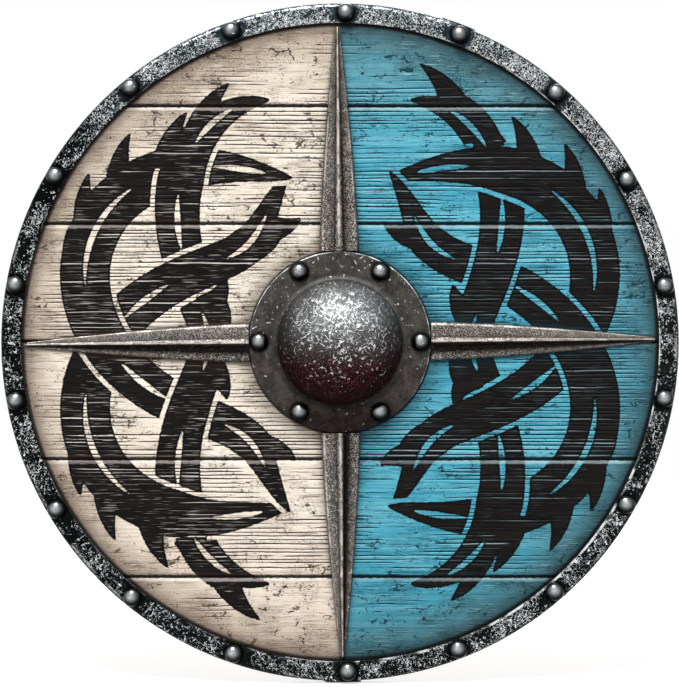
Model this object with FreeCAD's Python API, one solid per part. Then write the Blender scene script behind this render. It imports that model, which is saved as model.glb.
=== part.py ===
import FreeCAD, Part
import math
import os
from FreeCAD import Vector

# A round wooden shield with a centre grip. Six planks stand in a steel rim, a domed boss covers
# the hand hole, and four ribbed steel arms cross the front. A grip bar and two battens tie the
# planks together behind. Sizes are in millimetres. The shield stands upright: +X is to the right
# seen from the front, +Z is up and the front faces -Y. The origin is the middle of the hand grip.

# Overall
shield_diameter = 610.0
hole_clearance = 0.1
overrun = 1.0

# Planks
plank_count = 6
outer_plank_share = 0.867
plank_gap = 0.2
plank_thickness = 12.0
seam_chamfer = 2.0
tongue_thickness = 4.0
tongue_length = 5.0
tongue_clearance = 0.15

# Rim band, a channel of sheet steel in two lengths that lap at two of its rivets
rim_sheet = 1.5
rim_front_width = 18.5
rim_back_width = 15.0
rim_bend_radius = 4.5
rim_seat_clearance = 0.2
upper_lap_angle = 68.7
lower_lap_angle = 271.4
lap_tail = 11.0
lap_cover = 18.0
lap_joggle = 5.0
lap_clearance = 1.0

# Rim rivets, evenly pitched within each length of the band
left_pitch_count = 10
right_pitch_count = 8
rim_rivet_head_diameter = 17.0
rim_rivet_head_height = 7.0
rim_rivet_tail_diameter = 9.0
rim_rivet_tail_height = 2.0
rivet_shank_diameter = 5.0

# Boss, a spun dome with a flat flange
boss_sheet = 2.0
boss_height = 52.0
boss_dome_diameter = 115.0
boss_neck_fillet = 4.5
boss_flange_width = 20.7
boss_rim_round = 0.8
hand_hole_ledge = 4.8

# Boss rivets and the washers under their tails
boss_rivet_count = 6
boss_rivet_edge_distance = 8.9
boss_rivet_head_diameter = 16.5
boss_rivet_head_height = 6.5
boss_rivet_tail_diameter = 8.5
boss_rivet_tail_height = 2.0
boss_washer_diameter = 14.0
boss_washer_thickness = 1.2

# Arms, pressed from sheet with a hollow rib and bevelled edges, and the studs welded in the rib
arm_names = ("arm_right", "arm_top", "arm_left", "arm_bottom")
cross_turn = 0.5
arm_sheet = 1.2
arm_root_gap = 0.5
arm_tip_gap = 3.0
arm_root_width = 35.0
arm_tip_width = 3.6
arm_taper_power = 1.45
arm_root_edge_height = 3.2
arm_tip_edge_height = 1.5
arm_root_dish = 0.7
arm_tip_dish = 0.2
arm_root_bevel = 2.7
arm_tip_bevel = 0.5
arm_root_rib_width = 9.5
arm_tip_rib_width = 2.4
arm_root_rib_height = 7.5
arm_tip_rib_height = 3.0
arm_edge_lip = 0.6
arm_notch_depth = 3.5
arm_hollow_least = 0.3
arm_station_shares = (0.0, 0.2, 0.4, 0.6, 0.8, 1.0)
stud_diameter = 5.0
stud_projection = 2.0
stud_shares = (0.065, 0.49)
arm_washer_diameter = 16.0
arm_washer_thickness = 1.5
nut_across_flats = 9.0
nut_height = 4.5

# Grip bar, upright behind the planks, with a rounded handle across the hand hole
bar_thickness = 14.0
bar_root_width = 31.0
bar_tip_width = 26.0
bar_tip_thickness = 6.0
bar_tip_slope_length = 30.0
bar_edge_round = 2.0
bar_end_gap = 4.0
handle_width = 28.0
handle_thickness = 24.0
handle_round = 10.0
handle_blend_length = 9.0
handle_end_gap = 1.0
wrap_thickness = 1.6
wrap_end_gap = 1.0
wrap_clearance = 0.1

# Battens, one each side of the grip bar, and the nails that are driven from behind
batten_width = 30.0
batten_thickness = 8.0
batten_end_gap = 4.0
batten_end_slope = 5.0
batten_end_thickness = 4.0
nail_head_diameter = 6.0
nail_head_depth = 2.0
nail_shank_diameter = 2.6
nail_point_length = 3.0
nail_skin = 2.5
nail_edge_distance = 20.0
nail_stagger = 6.0

# Depths, from the back of the grip bar to the front of the planks
bar_back = bar_thickness / 2
board_back = -bar_thickness / 2
board_front = board_back - plank_thickness
batten_back = board_back + batten_thickness

# Round of the rim and the board
shield_radius = shield_diameter / 2
board_radius = shield_radius - rim_sheet - rim_seat_clearance
front_lip_radius = shield_radius - rim_front_width
back_lip_radius = shield_radius - rim_back_width
rim_rivet_circle = (shield_radius + front_lip_radius) / 2
rivet_hole_radius = rivet_shank_diameter / 2 + hole_clearance

# Seams are evenly pitched, and the two outer planks are the given share of a pitch high
plank_pitch = board_radius / (plank_count / 2 - 1 + outer_plank_share)

# Round of the boss: the neck is where the fillet runs out on the flange
dome_radius = boss_dome_diameter / 2
dome_centre_height = boss_height - dome_radius
fillet_centre_height = boss_sheet + boss_neck_fillet
fillet_rise = fillet_centre_height - dome_centre_height
boss_neck_radius = math.sqrt((dome_radius + boss_neck_fillet) ** 2 - fillet_rise ** 2)
boss_radius = boss_neck_radius + boss_flange_width
boss_rivet_circle = boss_radius - boss_rivet_edge_distance
hand_hole_radius = boss_neck_radius - hand_hole_ledge

# Run of the arms, and how far the hollow goes before the sheet closes up
arm_root_radius = boss_radius + arm_root_gap
arm_length = front_lip_radius - arm_tip_gap - arm_root_radius
arm_root_flat_height = arm_root_edge_height - arm_root_dish
arm_tip_flat_height = arm_tip_edge_height - arm_tip_dish
flat_spare = arm_root_flat_height - arm_sheet - arm_hollow_least
flat_hollow_share = flat_spare / (arm_root_flat_height - arm_tip_flat_height)
rib_spare = arm_root_rib_width - 2 * (arm_sheet + arm_hollow_least)
rib_hollow_share = rib_spare / (arm_root_rib_width - arm_tip_rib_width)
arm_hollow_share = min(flat_hollow_share, rib_hollow_share)
stud_radii = [arm_root_radius + share * arm_length for share in stud_shares]
stud_hole_radius = stud_diameter / 2 + hole_clearance

# Grip bar: the handle's ends clear the hand hole, and the bar's ends clear the rim's back lip
handle_end = math.sqrt(hand_hole_radius ** 2 - (bar_root_width / 2) ** 2) - handle_end_gap
handle_straight = handle_end - handle_blend_length
wrap_half_length = handle_straight - wrap_end_gap
bar_reach = back_lip_radius - bar_end_gap
bar_half_length = math.sqrt(bar_reach ** 2 - (bar_tip_width / 2) ** 2)
bar_slope_start = bar_half_length - bar_tip_slope_length

# Battens stand midway between the two studs of each side arm
batten_offset = sum(stud_radii) / len(stud_radii)
batten_reach = back_lip_radius - batten_end_gap
batten_half_length = math.sqrt(batten_reach ** 2 - (batten_offset + batten_width / 2) ** 2)


def ring_point(radius, angle, y):
    """Point at a radius and an angle in degrees round the shield's axis, counted from +X to +Z."""
    turn = math.radians(angle)
    return Vector(radius * math.cos(turn), y, radius * math.sin(turn))


def arc_angle(length, radius):
    """Angle in degrees that a length covers on a circle."""
    return math.degrees(length / radius)


def pin(place, radius, y_from, y_to):
    """Round bar along Y through a place."""
    return Part.makeCylinder(radius, y_to - y_from, Vector(place.x, y_from, place.z), Vector(0, 1, 0))


def outline(corners, place):
    """Closed wire through flat corners (u, v, round radius), set in space by place(u, v)."""
    runs = []
    for index, (u, v, radius) in enumerate(corners):
        corner = Vector(u, v, 0)
        before = Vector(*corners[index - 1][:2], 0) - corner
        after = Vector(*corners[(index + 1) % len(corners)][:2], 0) - corner
        before.normalize()
        after.normalize()
        half_angle = before.getAngle(after) / 2
        reach = radius / math.tan(half_angle)
        inward = before + after
        inward.normalize()
        middle = corner + inward * (radius / math.sin(half_angle) - radius)
        runs.append((corner + before * reach, middle, corner + after * reach, radius))
    edges = []
    for index, (start, middle, end, radius) in enumerate(runs):
        if radius > 0:
            arc = Part.Arc(place(start.x, start.y), place(middle.x, middle.y), place(end.x, end.y))
            edges.append(arc.toShape())
        following = runs[(index + 1) % len(runs)][0]
        edges.append(Part.makeLine(place(end.x, end.y), place(following.x, following.y)))
    return Part.Wire(edges)


def cap_arc(place, radius, seat_y, top_y):
    """Arc from the crown of a round head down to its edge, in the plane X and Y through its axis."""
    height = abs(top_y - seat_y)
    ball = (radius ** 2 + height ** 2) / (2 * height)
    outward = math.copysign(1, top_y - seat_y)
    half_turn = math.atan2(radius, ball - height) / 2
    middle_y = top_y - outward * ball * (1 - math.cos(half_turn))
    crown = Vector(place.x, top_y, place.z)
    middle = Vector(place.x + ball * math.sin(half_turn), middle_y, place.z)
    edge = Vector(place.x + radius, seat_y, place.z)
    return Part.Arc(crown, middle, edge).toShape()


def rivet(place, front_seat, back_seat, head, tail):
    """Round-head rivet along Y. head and tail are pairs of diameter and height."""
    shank = rivet_shank_diameter / 2

    def at(radius, y):
        return Vector(place.x + radius, y, place.z)

    head_radius, tail_radius = head[0] / 2, tail[0] / 2
    crown_y, end_y = front_seat - head[1], back_seat + tail[1]
    edges = [
        cap_arc(place, head_radius, front_seat, crown_y),
        Part.makeLine(at(head_radius, front_seat), at(shank, front_seat)),
        Part.makeLine(at(shank, front_seat), at(shank, back_seat)),
        Part.makeLine(at(shank, back_seat), at(tail_radius, back_seat)),
        cap_arc(place, tail_radius, back_seat, end_y),
        Part.makeLine(at(0, end_y), at(0, crown_y)),
    ]
    face = Part.Face(Part.Wire(Part.__sortEdges__(edges)))
    return face.revolve(at(0, 0), Vector(0, 1, 0), 360)


def washer(place, diameter, hole_radius, seat_y, thickness):
    """Flat washer whose front lies on seat_y."""
    blank = pin(place, diameter / 2, seat_y, seat_y + thickness)
    return blank.cut(pin(place, hole_radius, seat_y - overrun, seat_y + thickness + overrun))


# Where the fastenings go
def rim_rivet_angles():
    """Angles of the rim rivets: the left length of the band from lap to lap, then the right."""
    left_pitch = (lower_lap_angle - upper_lap_angle) / left_pitch_count
    right_pitch = (upper_lap_angle + 360 - lower_lap_angle) / right_pitch_count
    left = [upper_lap_angle + step * left_pitch for step in range(left_pitch_count + 1)]
    right = [lower_lap_angle + step * right_pitch for step in range(1, right_pitch_count)]
    return left + right


def boss_rivet_places():
    pitch = 360 / boss_rivet_count
    return [ring_point(boss_rivet_circle, step * pitch, 0) for step in range(boss_rivet_count)]


def arm_angle(name):
    return arm_names.index(name) * 90 + cross_turn


def stud_places(name):
    return [ring_point(radius, arm_angle(name), 0) for radius in stud_radii]


def stud_seat(name):
    """The nuts of the upright arms bear on the grip bar, those of the side arms on the planks."""
    return bar_back if name in ("arm_top", "arm_bottom") else board_back


def seam_height(number):
    """Height of the seam below plank number, counted from the top."""
    return (plank_count / 2 - number) * plank_pitch


def batten_nail_places():
    """Two nails into each inner plank, near its seams, and one into each outer plank."""
    heights = []
    for number in range(1, plank_count):
        heights += [seam_height(number) + nail_edge_distance, seam_height(number) - nail_edge_distance]
    top_seam = seam_height(1)
    heights[0] = (top_seam + batten_half_length) / 2
    heights[-1] = -heights[0]
    places = []
    for side in (-1, 1):
        for index, height in enumerate(heights):
            shift = nail_stagger * (-1) ** index
            places.append(Vector(side * batten_offset + shift, 0, height))
    return places


def grip_nail_places():
    """Nails beside the hand hole, midway between the studs, and in the outer planks."""
    inner = hand_hole_radius + nail_head_diameter
    outer = (seam_height(1) + bar_slope_start) / 2
    heights = (inner, batten_offset, outer)
    return [Vector(0, 0, side * height) for side in (-1, 1) for height in heights]


# Planks
def board_blank():
    """The whole round of the board, its edge rounded to lie in the rim's bends."""
    edge_round = rim_bend_radius - rim_sheet
    corners = [
        (0, board_front, 0),
        (board_radius, board_front, edge_round),
        (board_radius, board_back, edge_round),
        (0, board_back, 0),
    ]
    face = Part.Face(outline(corners, lambda radius, y: Vector(radius, y, 0)))
    return face.revolve(Vector(0, 0, 0), Vector(0, 1, 0), 360)


def plank_strip(number):
    """One straight plank: a tongue below, a groove above, and bevels along the front of its seams."""
    half_run = board_radius + overrun
    first, last = number == 1, number == plank_count
    top = half_run if first else seam_height(number - 1) - plank_gap / 2
    bottom = -half_run if last else seam_height(number) + plank_gap / 2
    middle = (board_front + board_back) / 2
    tongue_front, tongue_back = middle - tongue_thickness / 2, middle + tongue_thickness / 2
    groove_front, groove_back = tongue_front - tongue_clearance, tongue_back + tongue_clearance
    groove_floor = top - tongue_length - tongue_clearance
    if first:
        upper = [(board_back, top), (board_front, top)]
    else:
        upper = [
            (board_back, top),
            (groove_back, top),
            (groove_back, groove_floor),
            (groove_front, groove_floor),
            (groove_front, top),
            (board_front + seam_chamfer, top),
            (board_front, top - seam_chamfer),
        ]
    if last:
        lower = [(board_front, bottom), (board_back, bottom)]
    else:
        lower = [
            (board_front, bottom + seam_chamfer),
            (board_front + seam_chamfer, bottom),
            (tongue_front, bottom),
            (tongue_front, bottom - tongue_length),
            (tongue_back, bottom - tongue_length),
            (tongue_back, bottom),
            (board_back, bottom),
        ]
    points = [Vector(-half_run, y, z) for y, z in upper + lower]
    face = Part.Face(Part.makePolygon(points + points[:1]))
    return face.extrude(Vector(2 * half_run, 0, 0))


def board_holes():
    """Everything that is cut through the planks or driven into them."""
    front, back = board_front - overrun, board_back + overrun
    holes = [pin(Vector(0, 0, 0), hand_hole_radius, front, back)]
    for angle in rim_rivet_angles():
        holes.append(pin(ring_point(rim_rivet_circle, angle, 0), rivet_hole_radius, front, back))
    for place in boss_rivet_places():
        holes.append(pin(place, rivet_hole_radius, front, back))
    for name in arm_names:
        for place in stud_places(name):
            holes.append(pin(place, stud_hole_radius, front, back))
    for place in batten_nail_places() + grip_nail_places():
        holes.append(pin(place, nail_shank_diameter / 2, board_front + nail_skin, back))
    return holes


def make_planks():
    blank = board_blank()
    holes = board_holes()
    planks = {}
    for number in range(1, plank_count + 1):
        plank = plank_strip(number).common(blank)
        box = plank.BoundBox
        planks[f"plank_{number}"] = plank.cut([hole for hole in holes if box.intersect(hole.BoundBox)])
    return planks


# Rim band
def band_section(angle, lift):
    """Section of the channel at an angle. A lap is lifted off the band below by its sheet."""
    outer, bend = shield_radius + lift, rim_bend_radius + lift
    inner, inner_bend = outer - rim_sheet, bend - rim_sheet
    inside_front, inside_back = board_front - lift, board_back + lift
    front, back = inside_front - rim_sheet, inside_back + rim_sheet
    corners = [
        (front_lip_radius, front, 0),
        (outer, front, bend),
        (outer, back, bend),
        (back_lip_radius, back, 0),
        (back_lip_radius, inside_back, 0),
        (inner, inside_back, inner_bend),
        (inner, inside_front, inner_bend),
        (front_lip_radius, inside_front, 0),
    ]
    return outline(corners, lambda radius, y: ring_point(radius, angle, y))


def band_run(start, end, lift):
    """The channel carried round the rim from one angle to another."""
    face = Part.Face(band_section(start, lift))
    return face.revolve(Vector(0, 0, 0), Vector(0, -1, 0), end - start)


def band_joggle(low, high):
    """Short step from the plain band, at angle low, up to its lap, at angle high."""
    return Part.makeLoft([band_section(low, 0), band_section(high, rim_sheet)], True, True)


def make_rim():
    tail = arc_angle(lap_tail, rim_rivet_circle)
    cover = arc_angle(lap_cover, rim_rivet_circle)
    joggle = arc_angle(lap_joggle, rim_rivet_circle)
    spare = arc_angle(lap_clearance, rim_rivet_circle)
    upper_cover, lower_cover = upper_lap_angle + cover, lower_lap_angle - cover
    left = band_run(upper_lap_angle - tail, upper_cover, rim_sheet).fuse([
        band_joggle(upper_cover + joggle, upper_cover),
        band_run(upper_cover + joggle, lower_cover - joggle, 0),
        band_joggle(lower_cover - joggle, lower_cover),
        band_run(lower_cover, lower_lap_angle + tail, rim_sheet),
    ])
    right = band_run(lower_cover + spare - 360, upper_cover - spare, 0)
    front, back = board_front - plank_thickness, board_back + plank_thickness
    places = [ring_point(rim_rivet_circle, angle, 0) for angle in rim_rivet_angles()]
    holes = [pin(place, rivet_hole_radius, front, back) for place in places]
    return {
        "rim_band_left": left.removeSplitter().cut(holes),
        "rim_band_right": right.cut(holes),
    }


def make_rim_rivets():
    """Round heads in front, peened tails behind. The two in the laps hold one more sheet."""
    head = (rim_rivet_head_diameter, rim_rivet_head_height)
    tail = (rim_rivet_tail_diameter, rim_rivet_tail_height)
    rivets = []
    for angle in rim_rivet_angles():
        lapped = angle in (upper_lap_angle, lower_lap_angle)
        grip = rim_sheet * (2 if lapped else 1)
        place = ring_point(rim_rivet_circle, angle, 0)
        rivets.append(rivet(place, board_front - grip, board_back + grip, head, tail))
    return Part.makeCompound(rivets)


# Boss
def make_boss():
    """Spun shell of even thickness: a flat flange, a fillet at the neck and a round dome."""
    def at(radius, height):
        return Vector(radius, board_front - height, 0)

    def on_line(share_radius, centre_radius, centre_height, turn):
        height = centre_height + share_radius * math.sin(turn)
        return at(centre_radius + share_radius * math.cos(turn), height)

    inner_dome = dome_radius - boss_sheet
    outer_fillet = boss_neck_fillet + boss_sheet
    neck_turn = math.atan2(fillet_rise, boss_neck_radius)
    dome_middle = (neck_turn + math.pi / 2) / 2
    fillet_start = neck_turn - math.pi
    fillet_middle = (fillet_start - math.pi / 2) / 2

    def dome_arc(radius):
        turns = (math.pi / 2, dome_middle, neck_turn)
        return Part.Arc(*[on_line(radius, 0, dome_centre_height, turn) for turn in turns]).toShape()

    def neck_arc(radius):
        turns = (fillet_start, fillet_middle, -math.pi / 2)
        points = [on_line(radius, boss_neck_radius, fillet_centre_height, turn) for turn in turns]
        return Part.Arc(*points).toShape()

    turned = boss_rim_round * math.sqrt(0.5)
    edge_arc = Part.Arc(
        at(boss_radius - boss_rim_round, boss_sheet),
        at(boss_radius - boss_rim_round + turned, boss_sheet - boss_rim_round + turned),
        at(boss_radius, boss_sheet - boss_rim_round),
    )
    edges = [
        dome_arc(dome_radius),
        neck_arc(boss_neck_fillet),
        Part.makeLine(at(boss_neck_radius, boss_sheet), at(boss_radius - boss_rim_round, boss_sheet)),
        edge_arc.toShape(),
        Part.makeLine(at(boss_radius, boss_sheet - boss_rim_round), at(boss_radius, 0)),
        Part.makeLine(at(boss_radius, 0), at(boss_neck_radius, 0)),
        neck_arc(outer_fillet),
        dome_arc(inner_dome),
        Part.makeLine(at(0, boss_height - boss_sheet), at(0, boss_height)),
    ]
    face = Part.Face(Part.Wire(Part.__sortEdges__(edges)))
    shell = face.revolve(Vector(0, 0, 0), Vector(0, 1, 0), 360)
    front, back = board_front - boss_height, board_front + overrun
    return shell.cut([pin(place, rivet_hole_radius, front, back) for place in boss_rivet_places()])


def make_boss_rivets():
    head = (boss_rivet_head_diameter, boss_rivet_head_height)
    tail = (boss_rivet_tail_diameter, boss_rivet_tail_height)
    front, back = board_front - boss_sheet, board_back + boss_washer_thickness
    return Part.makeCompound([rivet(place, front, back, head, tail) for place in boss_rivet_places()])


def make_boss_washers():
    return Part.makeCompound([
        washer(place, boss_washer_diameter, rivet_hole_radius, board_back, boss_washer_thickness)
        for place in boss_rivet_places()
    ])


# Arms
def arm_section(angle, share, wall):
    """Section across an arm: bevelled edges, dished flats and a round rib. wall is 0 outside."""
    def between(root, tip):
        return root + (tip - root) * share

    def at(across, height):
        return ring_point(along, angle, board_front - height) + sideways * across

    along = arm_root_radius + share * arm_length
    sideways = ring_point(1, angle + 90, 0)
    taper = 1 - share ** arm_taper_power
    half_width = (arm_tip_width + (arm_root_width - arm_tip_width) * taper) / 2 - wall
    bevel = between(arm_root_bevel, arm_tip_bevel)
    edge_height = between(arm_root_edge_height, arm_tip_edge_height) - wall
    rib_half = between(arm_root_rib_width, arm_tip_rib_width) / 2 - wall
    rib_height = between(arm_root_rib_height, arm_tip_rib_height) - wall
    lip = min(arm_edge_lip, edge_height / 2)
    foot_height = between(arm_root_flat_height, arm_tip_flat_height) - wall
    left = [(-half_width, 0), (-half_width, lip), (bevel - half_width, edge_height)]
    right = [(-across, height) for across, height in reversed(left)]
    rib = Part.Arc(at(-rib_half, foot_height), at(0, rib_height), at(rib_half, foot_height)).toShape()
    left_points = [at(*point) for point in left] + [at(-rib_half, foot_height)]
    right_points = [at(rib_half, foot_height)] + [at(*point) for point in right]
    edges = [Part.makeLine(*pair) for pair in zip(left_points, left_points[1:])]
    edges.append(rib)
    edges += [Part.makeLine(*pair) for pair in zip(right_points, right_points[1:])]
    edges.append(Part.makeLine(right_points[-1], left_points[0]))
    return Part.Wire(edges)


def make_arm(name):
    """Pressed strip, hollow underneath, its rib open and notched at the boss, with two studs."""
    angle = arm_angle(name)
    outside = Part.makeLoft([arm_section(angle, share, 0) for share in arm_station_shares], True)
    hollow_shares = [share * arm_hollow_share for share in arm_station_shares]
    hollow = Part.makeLoft([arm_section(angle, share, arm_sheet) for share in hollow_shares], True)
    notch_place = ring_point(arm_root_radius + arm_notch_depth, angle, board_front - arm_root_edge_height)
    notch_across = ring_point(arm_root_rib_width / 2, angle - 90, 0)
    notch_along = ring_point(-arm_notch_depth - overrun, angle, 0)
    corner = notch_place - notch_across
    base = [corner, corner + notch_along, corner + notch_along + notch_across * 2]
    base += [corner + notch_across * 2, corner]
    notch = Part.Face(Part.makePolygon(base)).extrude(Vector(0, -arm_root_rib_height, 0))
    mouth = Part.Face(arm_section(angle, 0, arm_sheet)).extrude(ring_point(-overrun, angle, 0))
    arm = outside.cut([hollow, mouth, notch])
    crown = board_front - arm_root_rib_height - overrun
    thickness = arm_washer_thickness + nut_height + stud_projection
    for place in stud_places(name):
        weld = pin(place, stud_diameter / 2, crown, board_front).common(outside)
        shank = pin(place, stud_diameter / 2, board_front, stud_seat(name) + thickness)
        arm = arm.fuse([weld, shank])
    return arm.removeSplitter()


def make_arm_washers():
    return Part.makeCompound([
        washer(place, arm_washer_diameter, stud_hole_radius, stud_seat(name), arm_washer_thickness)
        for name in arm_names
        for place in stud_places(name)
    ])


def make_arm_nuts():
    nuts = []
    corner_radius = nut_across_flats / math.sqrt(3)
    for name in arm_names:
        seat = stud_seat(name) + arm_washer_thickness
        for place in stud_places(name):
            centre = Vector(place.x, seat, place.z)
            corners = [centre + ring_point(corner_radius, step * 60, 0) for step in range(7)]
            blank = Part.Face(Part.makePolygon(corners)).extrude(Vector(0, nut_height, 0))
            nuts.append(blank.cut(pin(place, stud_hole_radius, seat - overrun, seat + nut_height + overrun)))
    return Part.makeCompound(nuts)


# Grip bar
def bar_section(height, width, front, back, corner_round):
    half = width / 2
    corners = [
        (-half, front, corner_round),
        (half, front, corner_round),
        (half, back, corner_round),
        (-half, back, corner_round),
    ]
    return outline(corners, lambda x, y: Vector(x, y, height))


def bar_width(height):
    """The bar narrows evenly from the handle's end to its tip."""
    share = (height - handle_end) / (bar_half_length - handle_end)
    return bar_root_width + (bar_tip_width - bar_root_width) * share


def make_grip_bar():
    """Handle and both halves of the bar are one piece of wood, carried through rounded sections."""
    half_thick = handle_thickness / 2
    handle = (handle_width, -half_thick, half_thick, handle_round)
    root = (bar_width(handle_end), board_back, bar_back, bar_edge_round)
    slope = (bar_width(bar_slope_start), board_back, bar_back, bar_edge_round)
    tip = (bar_tip_width, board_back, board_back + bar_tip_thickness, bar_edge_round)
    middle = Part.Face(bar_section(-handle_straight, *handle)).extrude(Vector(0, 0, 2 * handle_straight))
    pieces = []
    for side in (-1, 1):
        stations = [(handle_straight, handle), (handle_end, root), (bar_slope_start, slope)]
        stations.append((bar_half_length, tip))
        for (low, low_sizes), (high, high_sizes) in zip(stations, stations[1:]):
            ends = [bar_section(side * low, *low_sizes), bar_section(side * high, *high_sizes)]
            pieces.append(Part.makeLoft(ends, True, True))
    bar = middle.fuse(pieces)
    front, back = board_back - overrun, bar_back + overrun
    holes = []
    for name in ("arm_top", "arm_bottom"):
        holes += [pin(place, stud_hole_radius, front, back) for place in stud_places(name)]
    holes += [nail_hole(place, bar_back) for place in grip_nail_places()]
    return bar.removeSplitter().cut(holes)


def make_grip_wrap():
    """Leather sleeve round the straight of the handle."""
    inner_half = handle_thickness / 2 + wrap_clearance
    inner_width = handle_width + 2 * wrap_clearance
    inner_round = handle_round + wrap_clearance
    outer_half = inner_half + wrap_thickness
    outer_width = inner_width + 2 * wrap_thickness
    outer_round = inner_round + wrap_thickness
    outer = Part.Face(bar_section(-wrap_half_length, outer_width, -outer_half, outer_half, outer_round))
    inner = Part.Face(bar_section(-wrap_half_length, inner_width, -inner_half, inner_half, inner_round))
    return outer.cut(inner).extrude(Vector(0, 0, 2 * wrap_half_length))


# Battens and nails
def nail(place, head_y):
    """Nail with a flush, countersunk head at head_y, driven into the planks."""
    head, shank = nail_head_diameter / 2, nail_shank_diameter / 2
    tip = board_front + nail_skin
    profile = [
        (0, head_y),
        (head, head_y),
        (shank, head_y - nail_head_depth),
        (shank, tip + nail_point_length),
        (0, tip),
        (0, head_y),
    ]
    points = [Vector(place.x + radius, y, place.z) for radius, y in profile]
    return Part.Face(Part.makePolygon(points)).revolve(points[0], Vector(0, 1, 0), 360)


def nail_hole(place, head_y):
    """Hole of a nail in what it holds down, with the countersink for its head."""
    head, shank = nail_head_diameter / 2, nail_shank_diameter / 2
    sink = Part.makeCone(shank, head, nail_head_depth, place + Vector(0, head_y - nail_head_depth, 0),
                         Vector(0, 1, 0))
    return sink.fuse(pin(place, shank, board_back - overrun, head_y - nail_head_depth))


def make_batten(side):
    """Straight batten with sloped ends. side is -1 for the left one and 1 for the right."""
    profile = [
        (board_back, -batten_half_length),
        (board_back + batten_end_thickness, -batten_half_length),
        (batten_back, batten_end_slope - batten_half_length),
        (batten_back, batten_half_length - batten_end_slope),
        (board_back + batten_end_thickness, batten_half_length),
        (board_back, batten_half_length),
    ]
    edge = side * batten_offset - batten_width / 2
    points = [Vector(edge, y, z) for y, z in profile]
    blank = Part.Face(Part.makePolygon(points + points[:1])).extrude(Vector(batten_width, 0, 0))
    places = [place for place in batten_nail_places() if place.x * side > 0]
    return blank.cut([nail_hole(place, batten_back) for place in places])


def make_parts():
    parts = make_planks()
    parts.update(make_rim())
    parts["rim_rivets"] = make_rim_rivets()
    parts["boss"] = make_boss()
    parts["boss_rivets"] = make_boss_rivets()
    parts["boss_rivet_washers"] = make_boss_washers()
    for name in arm_names:
        parts[name] = make_arm(name)
    parts["arm_washers"] = make_arm_washers()
    parts["arm_nuts"] = make_arm_nuts()
    parts["grip_bar"] = make_grip_bar()
    parts["grip_wrap"] = make_grip_wrap()
    parts["grip_nails"] = Part.makeCompound([nail(place, bar_back) for place in grip_nail_places()])
    parts["batten_left"] = make_batten(-1)
    parts["batten_right"] = make_batten(1)
    batten_nails = [nail(place, batten_back) for place in batten_nail_places()]
    parts["batten_nails"] = Part.makeCompound(batten_nails)
    return parts


os.makedirs("parts", exist_ok=True)
for node, shape in make_parts().items():
    shape.exportStep(f"parts/{node}.step")
    print(f"{node}: {len(shape.Solids)} solids, {shape.Volume:.1f} mm3, valid {shape.isValid()}")
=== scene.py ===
import math

import bmesh
import bpy
import numpy as np
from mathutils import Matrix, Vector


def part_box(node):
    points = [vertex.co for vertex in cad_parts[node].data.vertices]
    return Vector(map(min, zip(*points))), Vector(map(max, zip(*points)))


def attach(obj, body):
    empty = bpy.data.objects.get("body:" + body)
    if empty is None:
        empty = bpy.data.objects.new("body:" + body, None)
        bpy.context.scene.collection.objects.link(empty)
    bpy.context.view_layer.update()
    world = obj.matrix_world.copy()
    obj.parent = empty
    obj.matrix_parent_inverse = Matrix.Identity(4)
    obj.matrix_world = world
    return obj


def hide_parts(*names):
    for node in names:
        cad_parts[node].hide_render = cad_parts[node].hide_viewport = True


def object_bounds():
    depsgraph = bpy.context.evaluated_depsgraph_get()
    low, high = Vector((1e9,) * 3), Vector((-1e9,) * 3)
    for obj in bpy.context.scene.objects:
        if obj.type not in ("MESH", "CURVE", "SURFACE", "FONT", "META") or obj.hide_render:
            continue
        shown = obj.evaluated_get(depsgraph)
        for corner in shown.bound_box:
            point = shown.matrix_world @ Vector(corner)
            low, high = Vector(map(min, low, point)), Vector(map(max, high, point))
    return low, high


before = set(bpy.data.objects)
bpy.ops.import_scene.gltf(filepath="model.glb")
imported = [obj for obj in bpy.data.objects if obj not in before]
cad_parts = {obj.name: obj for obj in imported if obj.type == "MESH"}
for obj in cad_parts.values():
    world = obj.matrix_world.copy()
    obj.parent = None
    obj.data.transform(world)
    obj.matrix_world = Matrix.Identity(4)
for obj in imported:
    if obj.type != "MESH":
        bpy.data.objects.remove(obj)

bl_info = {
    "name": "Round Wooden Shield",
    "version": (1, 0, 0),
    "blender": (4, 5, 0),
    "location": "3D View > Sidebar > Shield",
    "description": "Builds a painted plank shield with a steel rim, boss and arms, in its own finishes",
    "category": "Add Mesh",
}

MM = 0.001
CAD_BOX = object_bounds()
PLANKS = tuple(f"plank_{number}" for number in range(1, 7))
ARMS = ("arm_right", "arm_top", "arm_left", "arm_bottom")


def node_box(node):
    """Lowest and highest corner of a CAD node, in millimetres."""
    low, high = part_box(node)
    return np.array(low) / MM, np.array(high) / MM


def hex_colour(code):
    """Linear colour of an sRGB hex value."""
    values = [int(code[i:i + 2], 16) / 255 for i in (1, 3, 5)]
    linear = [v / 12.92 if v <= 0.04045 else ((v + 0.055) / 1.055) ** 2.4 for v in values]
    return (*linear, 1.0)


# Sizes that come from the frame, in millimetres
BOARD_FRONT = node_box("plank_3")[0][1]
BOARD_BACK = node_box("plank_3")[1][1]
SEAMS = [node_box(name)[1][2] + 0.1 for name in PLANKS[1:]]
SHIELD_RADIUS = node_box("rim_band_right")[1][0]
BOSS_RADIUS = node_box("boss")[1][0]
BOSS_CROWN = node_box("boss")[0][1]

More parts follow.
